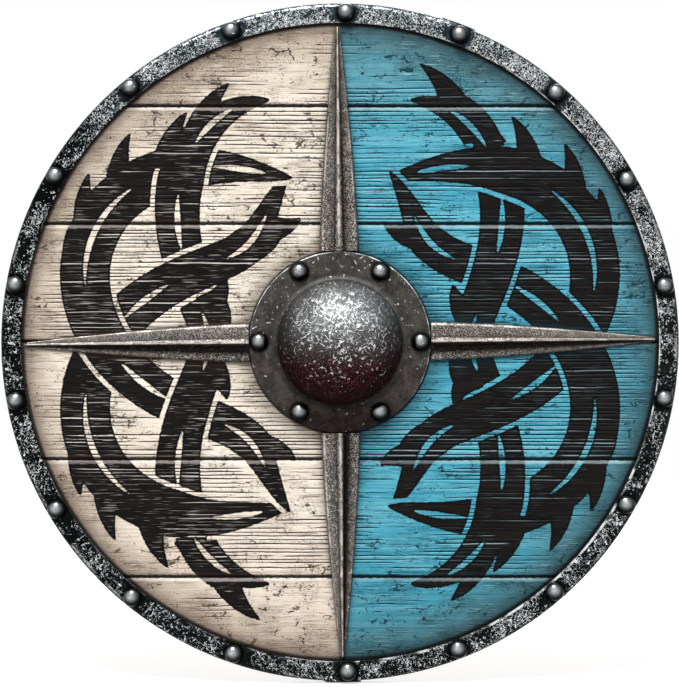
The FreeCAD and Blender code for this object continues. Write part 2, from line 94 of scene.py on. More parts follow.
# Sizes that several pieces share, in millimetres. Heads are (radius, height)
BOARD_RADIUS = SHIELD_RADIUS - 5
BOARD_CUT = 4
HAND_HOLE = 56.03
RIM_WIDTH, RIM_BACK_WIDTH, RIM_SHEET = 18.5, 15.0, 1.5
RIM_LIP = SHIELD_RADIUS - RIM_WIDTH
RIM_BACK_LIP = SHIELD_RADIUS - RIM_BACK_WIDTH
RIVET_CIRCLE = SHIELD_RADIUS - RIM_WIDTH / 2
BOSS_SHEET = 2
BOSS_RIVET_CIRCLE = BOSS_RADIUS - 8.9
RIM_HEAD, BOSS_HEAD = (8.5, 7.0), (8.25, 6.5)
SHANK_RADIUS = 2.5
ARM_ROOT = BOSS_RADIUS + 0.5
ARM_LENGTH = RIM_LIP - 3.0 - ARM_ROOT
ARM_WIDTH, ARM_TIP_WIDTH, ARM_TAPER = 35.0, 3.6, 1.45
STUD_RADII, STUD_REACH = (95.1, 180.74), 8
ARM_WASHER, BOSS_WASHER = 1.5, 1.2
BAR_DEPTH, BATTEN_DEPTH = 14.0, 8
BAR_BACK = BOARD_BACK + BAR_DEPTH
BATTEN_OFFSET, BATTEN_HALF = 137.92, 241.7

# Angles in degrees, from the right and upwards
LAP_ANGLES = (68.7, 271.4)
LAP_COVER, LAP_TAIL = 2.13, 3.3
CROSS_TURN = 0.5


def size_property(label, meaning, value, lowest=0.0):
    """Length setting, from its default and its lowest value in millimetres."""
    return bpy.props.FloatProperty(
        name=label, description=meaning, default=value * MM, min=lowest * MM, unit="LENGTH")


class ShieldSizes(bpy.types.PropertyGroup):
    """Sizes of the shield that a user may change"""
    groove_pitch: size_property("Groove Pitch", "Usual height between two grooves of the grain", 3.5, 2.5)
    groove_depth: size_property("Groove Depth", "Depth of the deepest grooves in the planks", 0.7)
    strand_width: size_property("Strand Width", "Width of the painted knotwork's strands", 40, 4)
    strand_gap: size_property("Strand Gap", "Bare line left beside a strand that passes over another", 4, 1)
    hammer_depth: size_property("Hammer Depth", "Height of the planishing marks on the steel", 0.16)
    wrap_pitch: size_property("Wrap Pitch", "Step of the leather strip with each turn", 11.5, 5)
    wrap_thickness: size_property("Wrap Thickness", "Thickness of the leather strip where it laps", 1.6, 0.5)


def colour_property(label, meaning, code):
    """Colour setting with an sRGB hex value as its default."""
    return bpy.props.FloatVectorProperty(
        name=label, description=meaning, default=hex_colour(code), size=4, min=0, max=1, subtype="COLOR")


class ShieldColours(bpy.types.PropertyGroup):
    """Colours of the paints, metals, wood and leather"""
    cream: colour_property("Cream", "Paint of the left half", "#faf1e2")
    turquoise: colour_property("Turquoise", "Paint of the right half", "#4da8bf")
    charcoal: colour_property("Charcoal", "Paint of the knotwork", "#120f0e")
    bare_wood: colour_property("Bare Wood", "Planed backs of the planks", "#a5825a")
    oiled_ash: colour_property("Oiled Ash", "Grip bar and battens", "#7d5834")
    leather: colour_property("Leather", "Strip round the handle", "#5a3620")
    rim_steel: colour_property("Rim Steel", "Blackened steel of the rim", "#0c1112")
    boss_steel: colour_property("Boss Steel", "Blackened steel of the boss", "#2c2927")
    rivet_steel: colour_property("Rivet Steel", "Gunmetal of the rivet heads", "#1c2325")
    arm_iron: colour_property("Arm Iron", "Pressed iron of the four arms", "#68625d")
    bright_steel: colour_property("Bright Steel", "Bare metal in scratches and on worn edges", "#d9dddd")
    bright_iron: colour_property("Bright Iron", "Bare metal on the arms", "#c9c1b9")
    plain_steel: colour_property("Plain Steel", "Washers, nuts and nails", "#86837e")


class StageSettings(bpy.types.PropertyGroup):
    """Light and camera"""
    key_power: bpy.props.FloatProperty(
        name="Key Power", description="Power of the large soft light above the front", default=215.0,
        min=0.0, unit="POWER")
    fill_power: bpy.props.FloatProperty(
        name="Fill Power", description="Power of the soft light above the back", default=30.0,
        min=0.0, unit="POWER")
    sky_strength: bpy.props.FloatProperty(
        name="Sky Strength", description="Strength of the soft light from all round", default=0.34, min=0.0)
    lens: bpy.props.FloatProperty(
        name="Lens", description="Focal length of the camera in millimetres", default=120.0, min=20.0)


# Shared tools for surfaces
def grid_quads(ids, wrap_rows=False, wrap_columns=False):
    """Quads between neighbouring points of a grid of point numbers, closed round where asked."""
    if wrap_rows:
        ids = np.concatenate([ids, ids[:1]], axis=0)
    if wrap_columns:
        ids = np.concatenate([ids, ids[:, :1]], axis=1)
    corners = (ids[:-1, :-1], ids[:-1, 1:], ids[1:, 1:], ids[1:, :-1])
    return np.stack([corner.ravel() for corner in corners], axis=1)


def number_grid(rows, columns, start=0):
    """Point numbers of a grid, row after row."""
    return start + np.arange(rows * columns).reshape(rows, columns)


def zip_lines(line_a, place_a, line_b, place_b):
    """Triangles between two lines of points that run side by side, by their places along the run.

    Each step of one line makes a triangle with the point of the other line that lies beside it.
    """
    middle_a = (place_a[:-1] + place_a[1:]) / 2
    middle_b = (place_b[:-1] + place_b[1:]) / 2
    beside_b = line_b[np.searchsorted(middle_b, middle_a)]
    beside_a = line_a[np.searchsorted(middle_a, middle_b, side="right")]
    first = np.stack([line_a[:-1], line_a[1:], beside_b], axis=1)
    second = np.stack([line_b[1:], line_b[:-1], beside_a], axis=1)
    return np.concatenate([first, second])


def soft_noise(u, v, size_u, size_v, seed):
    """Smooth noise from -1 to 1: seeded values on a lattice of the given sizes, eased between them."""
    table = np.random.default_rng(seed).uniform(-1, 1, (128, 128))
    u, v = np.broadcast_arrays(np.asarray(u, float) / size_u, np.asarray(v, float) / size_v)
    i, j = np.floor(u).astype(int), np.floor(v).astype(int)
    s, t = u - i, v - j
    s, t = s * s * (3 - 2 * s), t * t * (3 - 2 * t)
    i0, i1, j0, j1 = i % 128, (i + 1) % 128, j % 128, (j + 1) % 128
    low = table[i0, j0] * (1 - s) + table[i1, j0] * s
    high = table[i0, j1] * (1 - s) + table[i1, j1] * s
    return low * (1 - t) + high * t


def ease(value, low, high):
    """Smooth step from 0 at low to 1 at high."""
    share = np.clip((value - low) / (high - low), 0, 1)
    return share * share * (3 - 2 * share)


def splat(shape, row, column, weight, wrap):
    """Field on a grid: each mark gives its weight to its four nearest points, and the strongest stays."""
    field = np.zeros(shape, np.float32)
    i, j = np.floor(row).astype(int), np.floor(column).astype(int)
    s, t = row - i, column - j
    for di, dj, share in ((0, 0, (1 - s) * (1 - t)), (1, 0, s * (1 - t)), (0, 1, (1 - s) * t), (1, 1, s * t)):
        near_row = np.clip(i + di, 0, shape[0] - 1)
        near_column = (j + dj) % shape[1] if wrap else np.clip(j + dj, 0, shape[1] - 1)
        np.maximum.at(field, (near_row, near_column), (share ** 0.6 * weight).astype(np.float32))
    return field


def scratch_lines(rng, u, v, length, bend, strength, step=0.3):
    """Points along short curved scratches: arcs from seeded places, in seeded headings, tapered at both ends.

    u and v are the middles. length, bend and strength are pairs of lowest and highest value.
    """
    count = len(u)
    reach = rng.uniform(*length, count)[:, None]
    samples = int(length[1] / step) + 1
    share = np.linspace(-0.5, 0.5, samples)[None, :]
    curl = rng.uniform(*bend, count)[:, None] * rng.choice([-1, 1], count)[:, None]
    heading = rng.uniform(0, 2 * np.pi, count)[:, None] + curl * share * reach
    pace = reach / samples
    along_u = np.cumsum(np.cos(heading) * pace, axis=1)
    along_v = np.cumsum(np.sin(heading) * pace, axis=1)
    along_u += np.asarray(u)[:, None] - along_u.mean(axis=1, keepdims=True)
    along_v += np.asarray(v)[:, None] - along_v.mean(axis=1, keepdims=True)
    weight = rng.uniform(*strength, count)[:, None] * np.sqrt(np.clip(1 - (2 * share) ** 4, 0, 1))
    return along_u.ravel(), along_v.ravel(), np.broadcast_to(weight, along_u.shape).ravel()


def joined(patches):
    """One list of points and one list of face arrays from several patches of (points, faces)."""
    points, faces, start = [], [], 0
    for patch_points, patch_faces in patches:
        points.append(patch_points.reshape(-1, 3))
        faces += [np.asarray(face) + start for face in patch_faces]
        start += len(points[-1])
    return np.concatenate(points), faces


def add_piece(name, points, faces, materials, replaces=(), values=None, face_slots=None,
              crease=40):
    """Mesh object from points in millimetres and arrays of faces, riding on the shield.

    values are named numbers per point, for the materials. Points that no face uses are left out,
    faces are turned outwards, and edges sharper than the crease angle stay sharp.
    """
    flat = np.concatenate([face.ravel() for face in faces])
    used, flat = np.unique(flat, return_inverse=True)
    sizes = np.concatenate([np.full(len(face), face.shape[1]) for face in faces])
    mesh = bpy.data.meshes.new(name)
    mesh.vertices.add(len(used))
    mesh.vertices.foreach_set("co", (points[used] * MM).astype(np.float32).ravel())
    mesh.loops.add(len(flat))
    mesh.loops.foreach_set("vertex_index", flat.astype(np.int32).ravel())
    mesh.polygons.add(len(sizes))
    starts = np.concatenate([[0], np.cumsum(sizes)[:-1]])
    mesh.polygons.foreach_set("loop_start", starts.astype(np.int32))
    mesh.polygons.foreach_set("loop_total", sizes.astype(np.int32))
    if face_slots is not None:
        mesh.polygons.foreach_set("material_index", np.asarray(face_slots, np.int32))
    mesh.update(calc_edges=True)
    for key, value in (values or {}).items():
        full = np.zeros(len(points), np.float32)
        full[:len(value)] = value
        mesh.attributes.new(key, "FLOAT", "POINT").data.foreach_set("value", full[used])
    work = bmesh.new()
    work.from_mesh(mesh)
    bmesh.ops.recalc_face_normals(work, faces=work.faces)
    work.to_mesh(mesh)
    work.free()
    mesh.shade_smooth()
    mesh.set_sharp_from_angle(angle=math.radians(crease))
    for material in materials:
        mesh.materials.append(material)
    piece = bpy.data.objects.new(name, mesh)
    bpy.context.scene.collection.objects.link(piece)
    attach(piece, "root")
    if replaces:
        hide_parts(*replaces)
    return piece


def turned(profile, spokes, x=0.0, z=0.0, out=None):
    """Patch turned round an axis along Y at (x, z): a profile of (radius, y) carried round a circle.

    The first and last points lie on the axis and close in a point. out, a field of the profile's
    rows by the spokes, moves the surface outwards.
    """
    profile = np.asarray(profile, float)
    angle = np.linspace(0, 2 * np.pi, spokes, endpoint=False)[None, :]
    radius, y = profile[1:-1, :1], profile[1:-1, 1:]
    if out is not None:
        along = np.gradient(profile, axis=0)[1:-1]
        along /= np.linalg.norm(along, axis=1, keepdims=True)
        radius, y = radius + along[:, 1:] * out[1:-1], y - along[:, :1] * out[1:-1]
    rows = len(profile) - 2
    ring = np.stack(np.broadcast_arrays(x + radius * np.cos(angle), y, z + radius * np.sin(angle)), axis=-1)
    ends = np.array([[x, profile[0, 1], z], [x, profile[-1, 1], z]])
    points = np.concatenate([ring.reshape(-1, 3), ends])
    ids = number_grid(rows, spokes)
    first, last = rows * spokes, rows * spokes + 1
    around = np.concatenate([ids, ids[:, :1]], axis=1)
    crown = np.stack([np.full(spokes, first), around[0, 1:], around[0, :-1]], axis=1)
    foot = np.stack([np.full(spokes, last), around[-1, :-1], around[-1, 1:]], axis=1)
    return points, [grid_quads(ids, wrap_columns=True), crown, foot]


def arc_points(centre_radius, centre_y, radius, start, end, count):
    """Points (radius, y) on an arc. Angles in degrees, 0 outwards and 90 to the front."""
    turn = np.radians(np.linspace(start, end, count))
    return np.stack([centre_radius + radius * np.cos(turn), centre_y - radius * np.sin(turn)], axis=1)


def line_points(start, end, count):
    """Evenly spaced points from start to end, without the end itself."""
    share = np.linspace(0, 1, count, endpoint=False)[:, None]
    return np.asarray(start, float) * (1 - share) + np.asarray(end, float) * share


# Finishes
def new_material(name):
    """Empty node material, and its tree."""
    material = bpy.data.materials.new(name)
    material.use_nodes = True
    material.node_tree.nodes.clear()
    return material, material.node_tree


def add_node(tree, kind, inputs, out=0, **settings):
    """Add a shader node, set its settings, and set or link its inputs. Gives the output asked for."""
    node = tree.nodes.new("ShaderNode" + kind)
    for key, value in settings.items():
        setattr(node, key, value)
    for key, value in inputs.items():
        if isinstance(value, bpy.types.NodeSocket):
            tree.links.new(value, node.inputs[key])
        else:
            node.inputs[key].default_value = value
    return node.outputs[out]


def finish_surface(tree, colour, roughness, height, depth, **constants):
    """Close a material: relief of the given depth in metres, the shader and its constants, the output."""
    bump = add_node(tree, "Bump", {"Height": height, "Distance": depth, "Strength": 1.0})
    shader = add_node(tree, "BsdfPrincipled", {
        "Base Color": colour, "Roughness": roughness, "Normal": bump, **constants})
    output = tree.nodes.new("ShaderNodeOutputMaterial")
    tree.links.new(shader, output.inputs["Surface"])


def painted_pine(colours):
    """Split pine under worn paint: cream on the left, turquoise on the right, charcoal design over both.

    Gives the eye the brown or navy grooves with a painted highlight on each lower lip, streaks along
    the grain, paint rubbed thin on the black along the lips, also a painted highlight, pale ledges
    under the seams that are worn paint and a painted highlight, crackled patches, spots, a greyer top
    and edge, and dirt near the rim and the boss. Painted shade darkens the downward bevel above each
    seam, and the boards along the rim and round the boss and the arms. A pair of tints is for left
    and right.
    """
    material, tree = new_material("weathered_painted_pine")
    place = add_node(tree, "TexCoord", {}, "Object")
    x = add_node(tree, "SeparateXYZ", {0: place}, "X")
    z = add_node(tree, "SeparateXYZ", {0: place}, "Z")
    flat = add_node(tree, "VectorMath", {0: place, 1: (1, 0, 1)}, operation="MULTIPLY")
    radius = add_node(tree, "VectorMath", {0: flat}, "Value", operation="LENGTH")
    read = {key: add_node(tree, "Attribute", {}, "Fac", attribute_name=key)
            for key in ("groove", "lip", "from_top", "from_bottom", "design", "arm_shade")}
    noises = {}
    for key, sizes, detail, twist in (
            ("streak", (48, 50, 2.1), 3.0, 0.3), ("strip", (150, 50, 4.6), 1.0, 0.2),
            ("fleck", (4.2, 20, 0.9), 4.0, 0.4), ("speck", (0.9, 0.9, 0.9), 2.0, 0.0),
            ("patch", (38, 50, 24), 3.0, 0.6), ("smear", (90, 90, 60), 2.0, 0.4),
            ("curl", (6.5, 20, 4.2), 2.0, 2.2), ("island", (19, 30, 12), 2.0, 0.8),
            ("dash", (24, 20, 0.66), 1.0, 0.1), ("spot", (2.3, 20, 1.5), 2.0, 0.5),
            ("cloud", (24, 50, 13), 4.0, 1.0), ("thread", (24, 50, 1.05), 2.0, 0.25)):
        scaled = add_node(tree, "Mapping", {
            "Vector": place, "Scale": tuple(1 / (size * MM) for size in sizes)})
        noises[key] = add_node(tree, "TexNoise", {
            "Vector": scaled, "Scale": 1.0, "Detail": detail, "Distortion": twist}, "Fac")
    cells = add_node(tree, "VectorMath", {0: place, 1: (1 / 0.019, 1, 1 / 0.012)}, operation="MULTIPLY")
    bent = add_node(tree, "TexNoise", {"Vector": cells, "Scale": 2.4, "Detail": 2.0}, "Color")
    bent = add_node(tree, "VectorMath", {0: bent, 1: (0.55, 0.55, 0.55), 2: cells}, operation="MULTIPLY_ADD")
    crack = add_node(tree, "TexVoronoi", {"Vector": bent, "Scale": 1.0}, "Distance",
                     feature="DISTANCE_TO_EDGE")
    curled = add_node(tree, "Math", {0: noises["curl"], 1: 0.5}, operation="SUBTRACT")
    curled = add_node(tree, "Math", {0: curled}, operation="ABSOLUTE")
    ragged, groove, top, bottom, reach = (
        add_node(tree, "Math", {0: noises[noise], 1: share, 2: base}, operation="MULTIPLY_ADD")
        for noise, share, base in (
            ("fleck", 2.6, read["design"]), ("fleck", 0.5, read["groove"]), ("fleck", 3.0, read["from_top"]),
            ("fleck", 3.0, read["from_bottom"]), ("patch", 0.045, radius)))
    mask = {"arm_shade": read["arm_shade"]}
    for key, value, low, high in (
            ("right", x, -0.0001, 0.0001), ("low", z, -0.06, -0.26), ("high", z, 0.13, 0.28),
            ("charcoal", ragged, 1.55, 1.05), ("outline", ragged, -1.1, 0.3), ("groove", groove, 0.52, 0.8),
            ("hairline", groove, 0.36, 0.58), ("lip", read["lip"], 0.3, 0.74),
            ("thread", noises["thread"], 0.42, 0.35), ("ledge", top, 5.5, 4.6),
            # under: painted shade on the downward bevel above each seam
            ("over_seam", bottom, 7.0, 2.6), ("under", bottom, 4.5, 3.1), ("seam", top, 2.6, 1.9),
            ("streak", noises["streak"], 0.46, 0.7), ("dark_streak", noises["streak"], 0.5, 0.32),
            ("strip", noises["strip"], 0.5, 0.66), ("cloud", noises["cloud"], 0.5, 0.68),
            ("rim", reach, 0.262, 0.312), ("outer", reach, 0.228, 0.30), ("boss", reach, 0.135, 0.1),
            # contact, near_rim, foot and near_boss: painted shade along the rim's lip and round the boss
            # flange
            ("contact", radius, 0.2818, 0.2850), ("near_rim", radius, 0.271, 0.286),
            ("foot", radius, 0.0842, 0.0818), ("near_boss", radius, 0.098, 0.082),
            ("crack", crack, 0.06, 0.025), ("crackled", noises["island"], 0.58, 0.63),
            ("curl", curled, 0.014, 0.004), ("curled", noises["patch"], 0.5, 0.58),
            ("spot", noises["spot"], 0.6, 0.64), ("spotted", noises["island"], 0.46, 0.56),
            ("dash", noises["dash"], 0.635, 0.675), ("chip", noises["fleck"], 0.66, 0.7),
            ("rub", noises["patch"], 0.36, 0.56), ("speck", noises["speck"], 0.5, 0.62),
            ("smear", noises["smear"], 0.5, 0.68)):
        mask[key] = add_node(tree, "MapRange", {0: value, 1: low, 2: high}, interpolation_type="SMOOTHSTEP")
    for key, a, b in (
            ("cracks", "crack", "crackled"), ("curls", "curl", "curled"), ("worn_lip", "lip", "rub"),
            ("threads", "thread", "rub"), ("spots", "spot", "spotted"), ("dashes", "dash", "rub"),
            ("specked_rim", "rim", "speck"), ("boss_dirt", "boss", "speck"), ("strips", "strip", "right"),
            ("white_lip", "lip", "strip")):
        mask[key] = add_node(tree, "Math", {0: mask[a], 1: mask[b]}, operation="MULTIPLY")
    halves, pale, over_black = (
        add_node(tree, "Mix", {0: mask["right"], 6: left, 7: right}, 2, data_type="RGBA")
        for left, right in ((tuple(colours.cream), tuple(colours.turquoise)),
                            (hex_colour("#ebe2d7"), hex_colour("#93b8c1")),
                            (hex_colour("#a09893"), hex_colour("#808e90"))))

    def layered(colour, layers):
        for factor, share, *tints in layers:
            amount = add_node(tree, "Math", {0: mask[factor], 1: share}, operation="MULTIPLY")
            tint, *other = map(hex_colour, tints)
            if other:
                tint = add_node(tree, "Mix", {0: mask["right"], 6: tint, 7: other[0]}, 2, data_type="RGBA")
            colour = add_node(tree, "Mix", {0: amount, 6: colour, 7: tint}, 2, data_type="RGBA")
        return colour

    paint = layered(halves, (
        ("streak", 0.45, "#e8dac6", "#78c2d3"), ("dark_streak", 0.5, "#c9b8a3", "#2b839b"),
        ("strips", 0.45, "#efe2cf", "#86cddb"), ("smear", 0.3, "#d2bca4", "#2f8aa4"),
        ("cloud", 0.36, "#b7a48e", "#3d7f8f"), ("speck", 0.2, "#b5a18b", "#2a7a94"),
        ("low", 0.3, "#e3c9b9", "#297a8f"), ("high", 0.42, "#c4b8a8", "#5f8289"),
        ("outer", 0.4, "#c9b8a5", "#4a7178"), ("rim", 0.7, "#9b8a78", "#425253"),
        ("specked_rim", 0.6, "#574438", "#24393f"), ("boss", 0.34, "#a19281", "#2f6879"),
        ("boss_dirt", 0.45, "#6a5a4c", "#2a4751"), ("threads", 0.5, "#7d6855", "#175468"),
        ("curls", 0.9, "#43342a", "#103a49"), ("chip", 0.3, "#f6eee2", "#a5dbe4"),
        ("cracks", 0.9, "#382b24", "#0d303d"), ("spots", 0.85, "#3d2f27", "#0f3442"),
        # lip: painted highlight under each groove
        ("lip", 0.6, "#fffaf0", "#8ed6e6"), ("dashes", 0.45, "#fffaf0", "#a8e0ea"),
        ("hairline", 0.6, "#755e4c", "#154f68"), ("groove", 0.97, "#2a1d17", "#071e29")))
    black = layered(tuple(colours.charcoal), (
        ("streak", 0.3, "#2a2422"), ("dark_streak", 0.6, "#0a0707"), ("threads", 0.5, "#050404"),
        # worn_lip and white_lip: paint worn off the groove lips, partly a painted highlight
        ("worn_lip", 0.34, "#7e756e", "#46565a"), ("white_lip", 0.92, "#e4ddd3", "#8fa5aa"),
        ("chip", 0.25, "#5a504a", "#344145"), ("cracks", 0.5, "#050404"), ("groove", 0.95, "#030202"),
        ("dashes", 0.62, "#cfc8bf", "#3c4a4d"), ("outline", 0.9, "#050404")))
    colour = add_node(tree, "Mix", {0: mask["charcoal"], 6: paint, 7: black}, 2, data_type="RGBA")
    pale = add_node(tree, "Mix", {0: mask["charcoal"], 6: pale, 7: over_black}, 2, data_type="RGBA")
    # The pale ledge under each seam: worn paint and a painted highlight
    amount = add_node(tree, "MapRange", {0: noises["strip"], 1: 0.35, 2: 0.6, 3: 0.35, 4: 0.85})
    amount = add_node(tree, "Math", {0: mask["ledge"], 1: amount}, operation="MULTIPLY")
    colour = add_node(tree, "Mix", {0: amount, 6: colour, 7: pale}, 2, data_type="RGBA")
    colour = layered(colour, (
        # Painted shade: arm_shade beside the arms, near_rim and contact along the rim, near_boss and foot
        # round the boss, under on the downward bevel above each seam
        ("over_seam", 0.42, "#4a3a32", "#123642"), ("arm_shade", 0.75, "#372a24", "#13323c"),
        ("near_rim", 0.62, "#54453c", "#1e2e33"), ("near_boss", 0.5, "#3a2e28", "#17323b"),
        ("under", 0.9, "#120c0a"), ("seam", 0.9, "#120c0a"), ("contact", 0.92, "#0d0908"),
        ("foot", 0.92, "#0d0908")))
    roughness = add_node(tree, "MapRange", {0: mask["charcoal"], 3: 0.66, 4: 0.5})
    roughness = add_node(tree, "Math", {0: noises["fleck"], 1: 0.16, 2: roughness}, operation="MULTIPLY_ADD")
    height = add_node(tree, "Math", {0: noises["fleck"], 1: 0.42, 2: noises["streak"]},
                      operation="MULTIPLY_ADD")
    for factor, share in (("cracks", -0.8), ("curls", -0.5), ("spots", -0.5), ("threads", -0.5),
                          ("charcoal", 0.14), ("chip", -0.25)):
        height = add_node(tree, "Math", {0: mask[factor], 1: share, 2: height}, operation="MULTIPLY_ADD")
    finish_surface(tree, colour, roughness, height, 0.35 * MM, **{"Specular IOR Level": 0.07})
    return material


def planed_wood(name, colour, along, size=1.0, planks=0.0):
    """Planed wood with its grain along one axis: growth bands, fine dark pores, a few long stains.

    Gives the eye bare pine behind the planks, and oiled ash on the grip bar and battens. With planks,
    their width in millimetres, each plank has its own tone and there is a dark line at every seam.
    """
    material, tree = new_material(name)
    place = add_node(tree, "TexCoord", {}, "Object")
    noises = {}
    for key, run, across, detail, twist in (
            ("band", 190, 7.5, 2.0, 1.2), ("fibre", 34, 0.7, 4.0, 0.2), ("pore", 7, 0.32, 1.0, 0.0),
            ("stain", 140, 46, 2.0, 0.8)):
        scale = [1 / (across * size * MM)] * 3
        scale[along] = 1 / (run * MM)
        scaled = add_node(tree, "Mapping", {"Vector": place, "Scale": tuple(scale)})
        noises[key] = add_node(tree, "TexNoise", {
            "Vector": scaled, "Scale": 1.0, "Detail": detail, "Distortion": twist}, "Fac")
    bands = add_node(tree, "Math", {0: noises["band"], 1: 42.0}, operation="MULTIPLY")
    bands = add_node(tree, "Math", {0: bands}, operation="SINE")
    if planks:
        height = add_node(tree, "SeparateXYZ", {0: place}, "Z")
        row = add_node(tree, "Math", {0: height, 1: planks * MM}, operation="DIVIDE")
        from_seam = add_node(tree, "Math", {0: row, 1: 0.5}, operation="PINGPONG")
        row = add_node(tree, "Math", {0: row}, operation="FLOOR")
        tone = add_node(tree, "TexWhiteNoise", {"W": row}, "Value", noise_dimensions="1D")
        tone = add_node(tree, "MapRange", {0: tone, 3: 0.74, 4: 1.12})
        seam = add_node(tree, "MapRange", {0: from_seam, 1: 0.004, 2: 0.009, 3: 0.12, 4: 1.0})
        tone = add_node(tree, "Math", {0: tone, 1: seam}, operation="MULTIPLY")
    base = np.array(colour[:3])
    tones = {key: (*np.clip(base * share, 0, 1), 1) for key, share in (
        ("band", 0.62), ("fibre", 1.28), ("pore", 0.4), ("stain", 0.7))}
    result = tuple(colour)
    masks = {}
    for key, value, low, high, share in (
            ("band", bands, 0.1, 0.95, 0.6), ("fibre", noises["fibre"], 0.48, 0.72, 0.6),
            ("pore", noises["pore"], 0.62, 0.7, 0.65), ("stain", noises["stain"], 0.5, 0.7, 0.45)):
        masks[key] = add_node(tree, "MapRange", {0: value, 1: low, 2: high, 3: 0.0, 4: share},
                              interpolation_type="SMOOTHSTEP")
        result = add_node(tree, "Mix", {0: masks[key], 6: result, 7: tones[key]}, 2, data_type="RGBA")
    if planks:
        result = add_node(tree, "Mix", {0: 1.0, 6: result, 7: tone}, 2, data_type="RGBA",
                          blend_type="MULTIPLY")
    roughness = add_node(tree, "MapRange", {0: noises["fibre"], 3: 0.5, 4: 0.74})
    height = noises["fibre"]
    for key, share in (("pore", -1.0), ("band", -0.4)):
        height = add_node(tree, "Math", {0: masks[key], 1: share, 2: height}, operation="MULTIPLY_ADD")
    finish_surface(tree, result, roughness, height, 0.14 * MM)
    return material


def worn_steel(name, colour, bright, roughness, stipple, tints=(), uneven=1.0, cover=0.565, curl=7.0,
               crisp=0.0):
    """Blackened or plain steel, forged, spun or polished: gunmetal with silver marks.

    Gives the eye blotches, fine stipple, bare metal in scratches and on edges, a painted highlight,
    and painted shade in hollows and on sides away from the light. The mesh carries how much there is
    of each at a point: scratch, edge, scuff (crisp curled marks), grain (bright and dark stipple of
    the given size in millimetres), sheen (a painted highlight, in places also polish) and
    shade_and_soot (painted shade, in places also dirt).
    The lower cover is, the more of the stipple is bright, and curl is the size of the curled marks.
    With crisp, little grain means few bright specks, where it otherwise means dim ones.
    tints are (axis, low, high, share, colour) and shift the base along an axis.
    """
    material, tree = new_material(name)
    place = add_node(tree, "TexCoord", {}, "Object")
    made = {axis: add_node(tree, "SeparateXYZ", {0: place}, axis) for axis in "XYZ"}
    for key in ("scratch", "edge", "scuff", "grain", "sheen", "shade_and_soot"):
        made[key] = add_node(tree, "Attribute", {}, "Fac", attribute_name=key)
    for key, size, detail, twist in (
            ("blotch", 9.0, 3.0, 0.5), ("mottle", 2.4, 3.0, 0.5), ("pit", stipple, 1.0, 0.8),
            ("hair", 1.6, 4.0, 0.5), ("curl", curl, 1.0, 0.9), ("gate", 0.6 * curl, 1.0, 0.0)):
        made[key] = add_node(tree, "TexNoise", {
            "Vector": place, "Scale": 1 / (size * MM), "Detail": detail, "Distortion": twist}, "Fac")
    # Each step: its name, how it works, and its inputs, which are numbers or earlier names
    steps = [(f"tint {number}", "SMOOTHSTEP", axis, low * MM, high * MM, 0.0, share)
             for number, (axis, low, high, share, _) in enumerate(tints)]
    steps += [("specks", "SUBTRACT", "grain", 0.8), ("specks", "MULTIPLY_ADD", "specks", crisp, "pit"),
              ("share", "SMOOTHSTEP", "grain", 0.0, 0.12)] if crisp else []
    specks, share = ("specks", "share") if crisp else ("pit", "grain")
    steps += [
        ("shade", "SMOOTHSTEP", "blotch", 0.3, 0.7, 1 - 0.38 * uneven, 1 + 0.3 * uneven),
        ("tone", "SMOOTHSTEP", "mottle", 0.3, 0.7, 1 - 0.3 * uneven, 1 + 0.35 * uneven),
        ("tone", "MULTIPLY", "shade", "tone"),
        ("dark", "SMOOTHSTEP", "pit", cover - 0.05, cover - 0.13), ("dark", "MULTIPLY", "dark", "grain"),
        ("dark", "MULTIPLY", "dark", 0.8),
        ("light", "SMOOTHSTEP", specks, cover, cover + 0.045 - 0.1 * crisp),
        ("light", "MULTIPLY", "light", share),
        ("broken", "SMOOTHSTEP", "hair", 0.34, 0.56, 0.45, 1.0),
        ("worn", "MULTIPLY", "edge", "broken"), ("worn", "SMOOTHSTEP", "worn", 0.12, 0.7),
        ("line", "MULTIPLY", "scratch", "broken"), ("line", "SMOOTHSTEP", "line", 0.27, 0.6),
        ("ridge", "SUBTRACT", "curl", 0.5), ("ridge", "ABSOLUTE", "ridge"),
        ("ridge", "SMOOTHSTEP", "ridge", 0.032, 0.014),
        ("open", "MULTIPLY_ADD", "scuff", 0.34, "gate"), ("open", "SMOOTHSTEP", "open", 0.68, 0.74),
        ("mark", "MULTIPLY", "ridge", "open"),
        ("worn", "MAXIMUM", "worn", "line"), ("mark", "MAXIMUM", "mark", "light"),
        ("rubbed", "MAXIMUM", "worn", "mark"), ("bare", "MULTIPLY", "rubbed", 0.94),
        ("gloss", "SMOOTHSTEP", "mottle", 0.3, 0.7, roughness - 0.08 * uneven, roughness + 0.1 * uneven),
        ("gloss", "MULTIPLY_ADD", "rubbed", -0.08, "gloss"),
        ("height", "MULTIPLY", "grain", 2.0), ("height", "MULTIPLY_ADD", "pit", "height", "mottle"),
        ("height", "MULTIPLY_ADD", "scratch", -0.5, "height")]
    for key, way, *terms in steps:
        kind, setting = ("MapRange", "interpolation_type") if way == "SMOOTHSTEP" else ("Math", "operation")
        inputs = {slot: made.get(term, term) for slot, term in enumerate(terms)}
        made[key] = add_node(tree, kind, inputs, **{setting: way})
    result, bare_metal = tuple(colour), tuple(bright)
    layers = [(f"tint {number}", hex_colour(tint), "MIX") for number, (*_, tint) in enumerate(tints)]
    # sheen mixes in a painted highlight, and shade_and_soot darkens as painted shade
    layers += [(1.0, "tone", "MULTIPLY"), ("sheen", bare_metal, "MIX"),
               ("dark", (0.004, 0.004, 0.004, 1), "MIX"), ("bare", bare_metal, "MIX"),
               ("shade_and_soot", (0.003, 0.0025, 0.0025, 1), "MIX")]
    for amount, tint, blend in layers:
        inputs = {0: made.get(amount, amount), 6: result, 7: made.get(tint, tint)}
        result = add_node(tree, "Mix", inputs, 2, data_type="RGBA", blend_type=blend)
    finish_surface(tree, result, made["gloss"], made["height"], 0.12 * uneven * MM, Metallic=1.0)
    return material


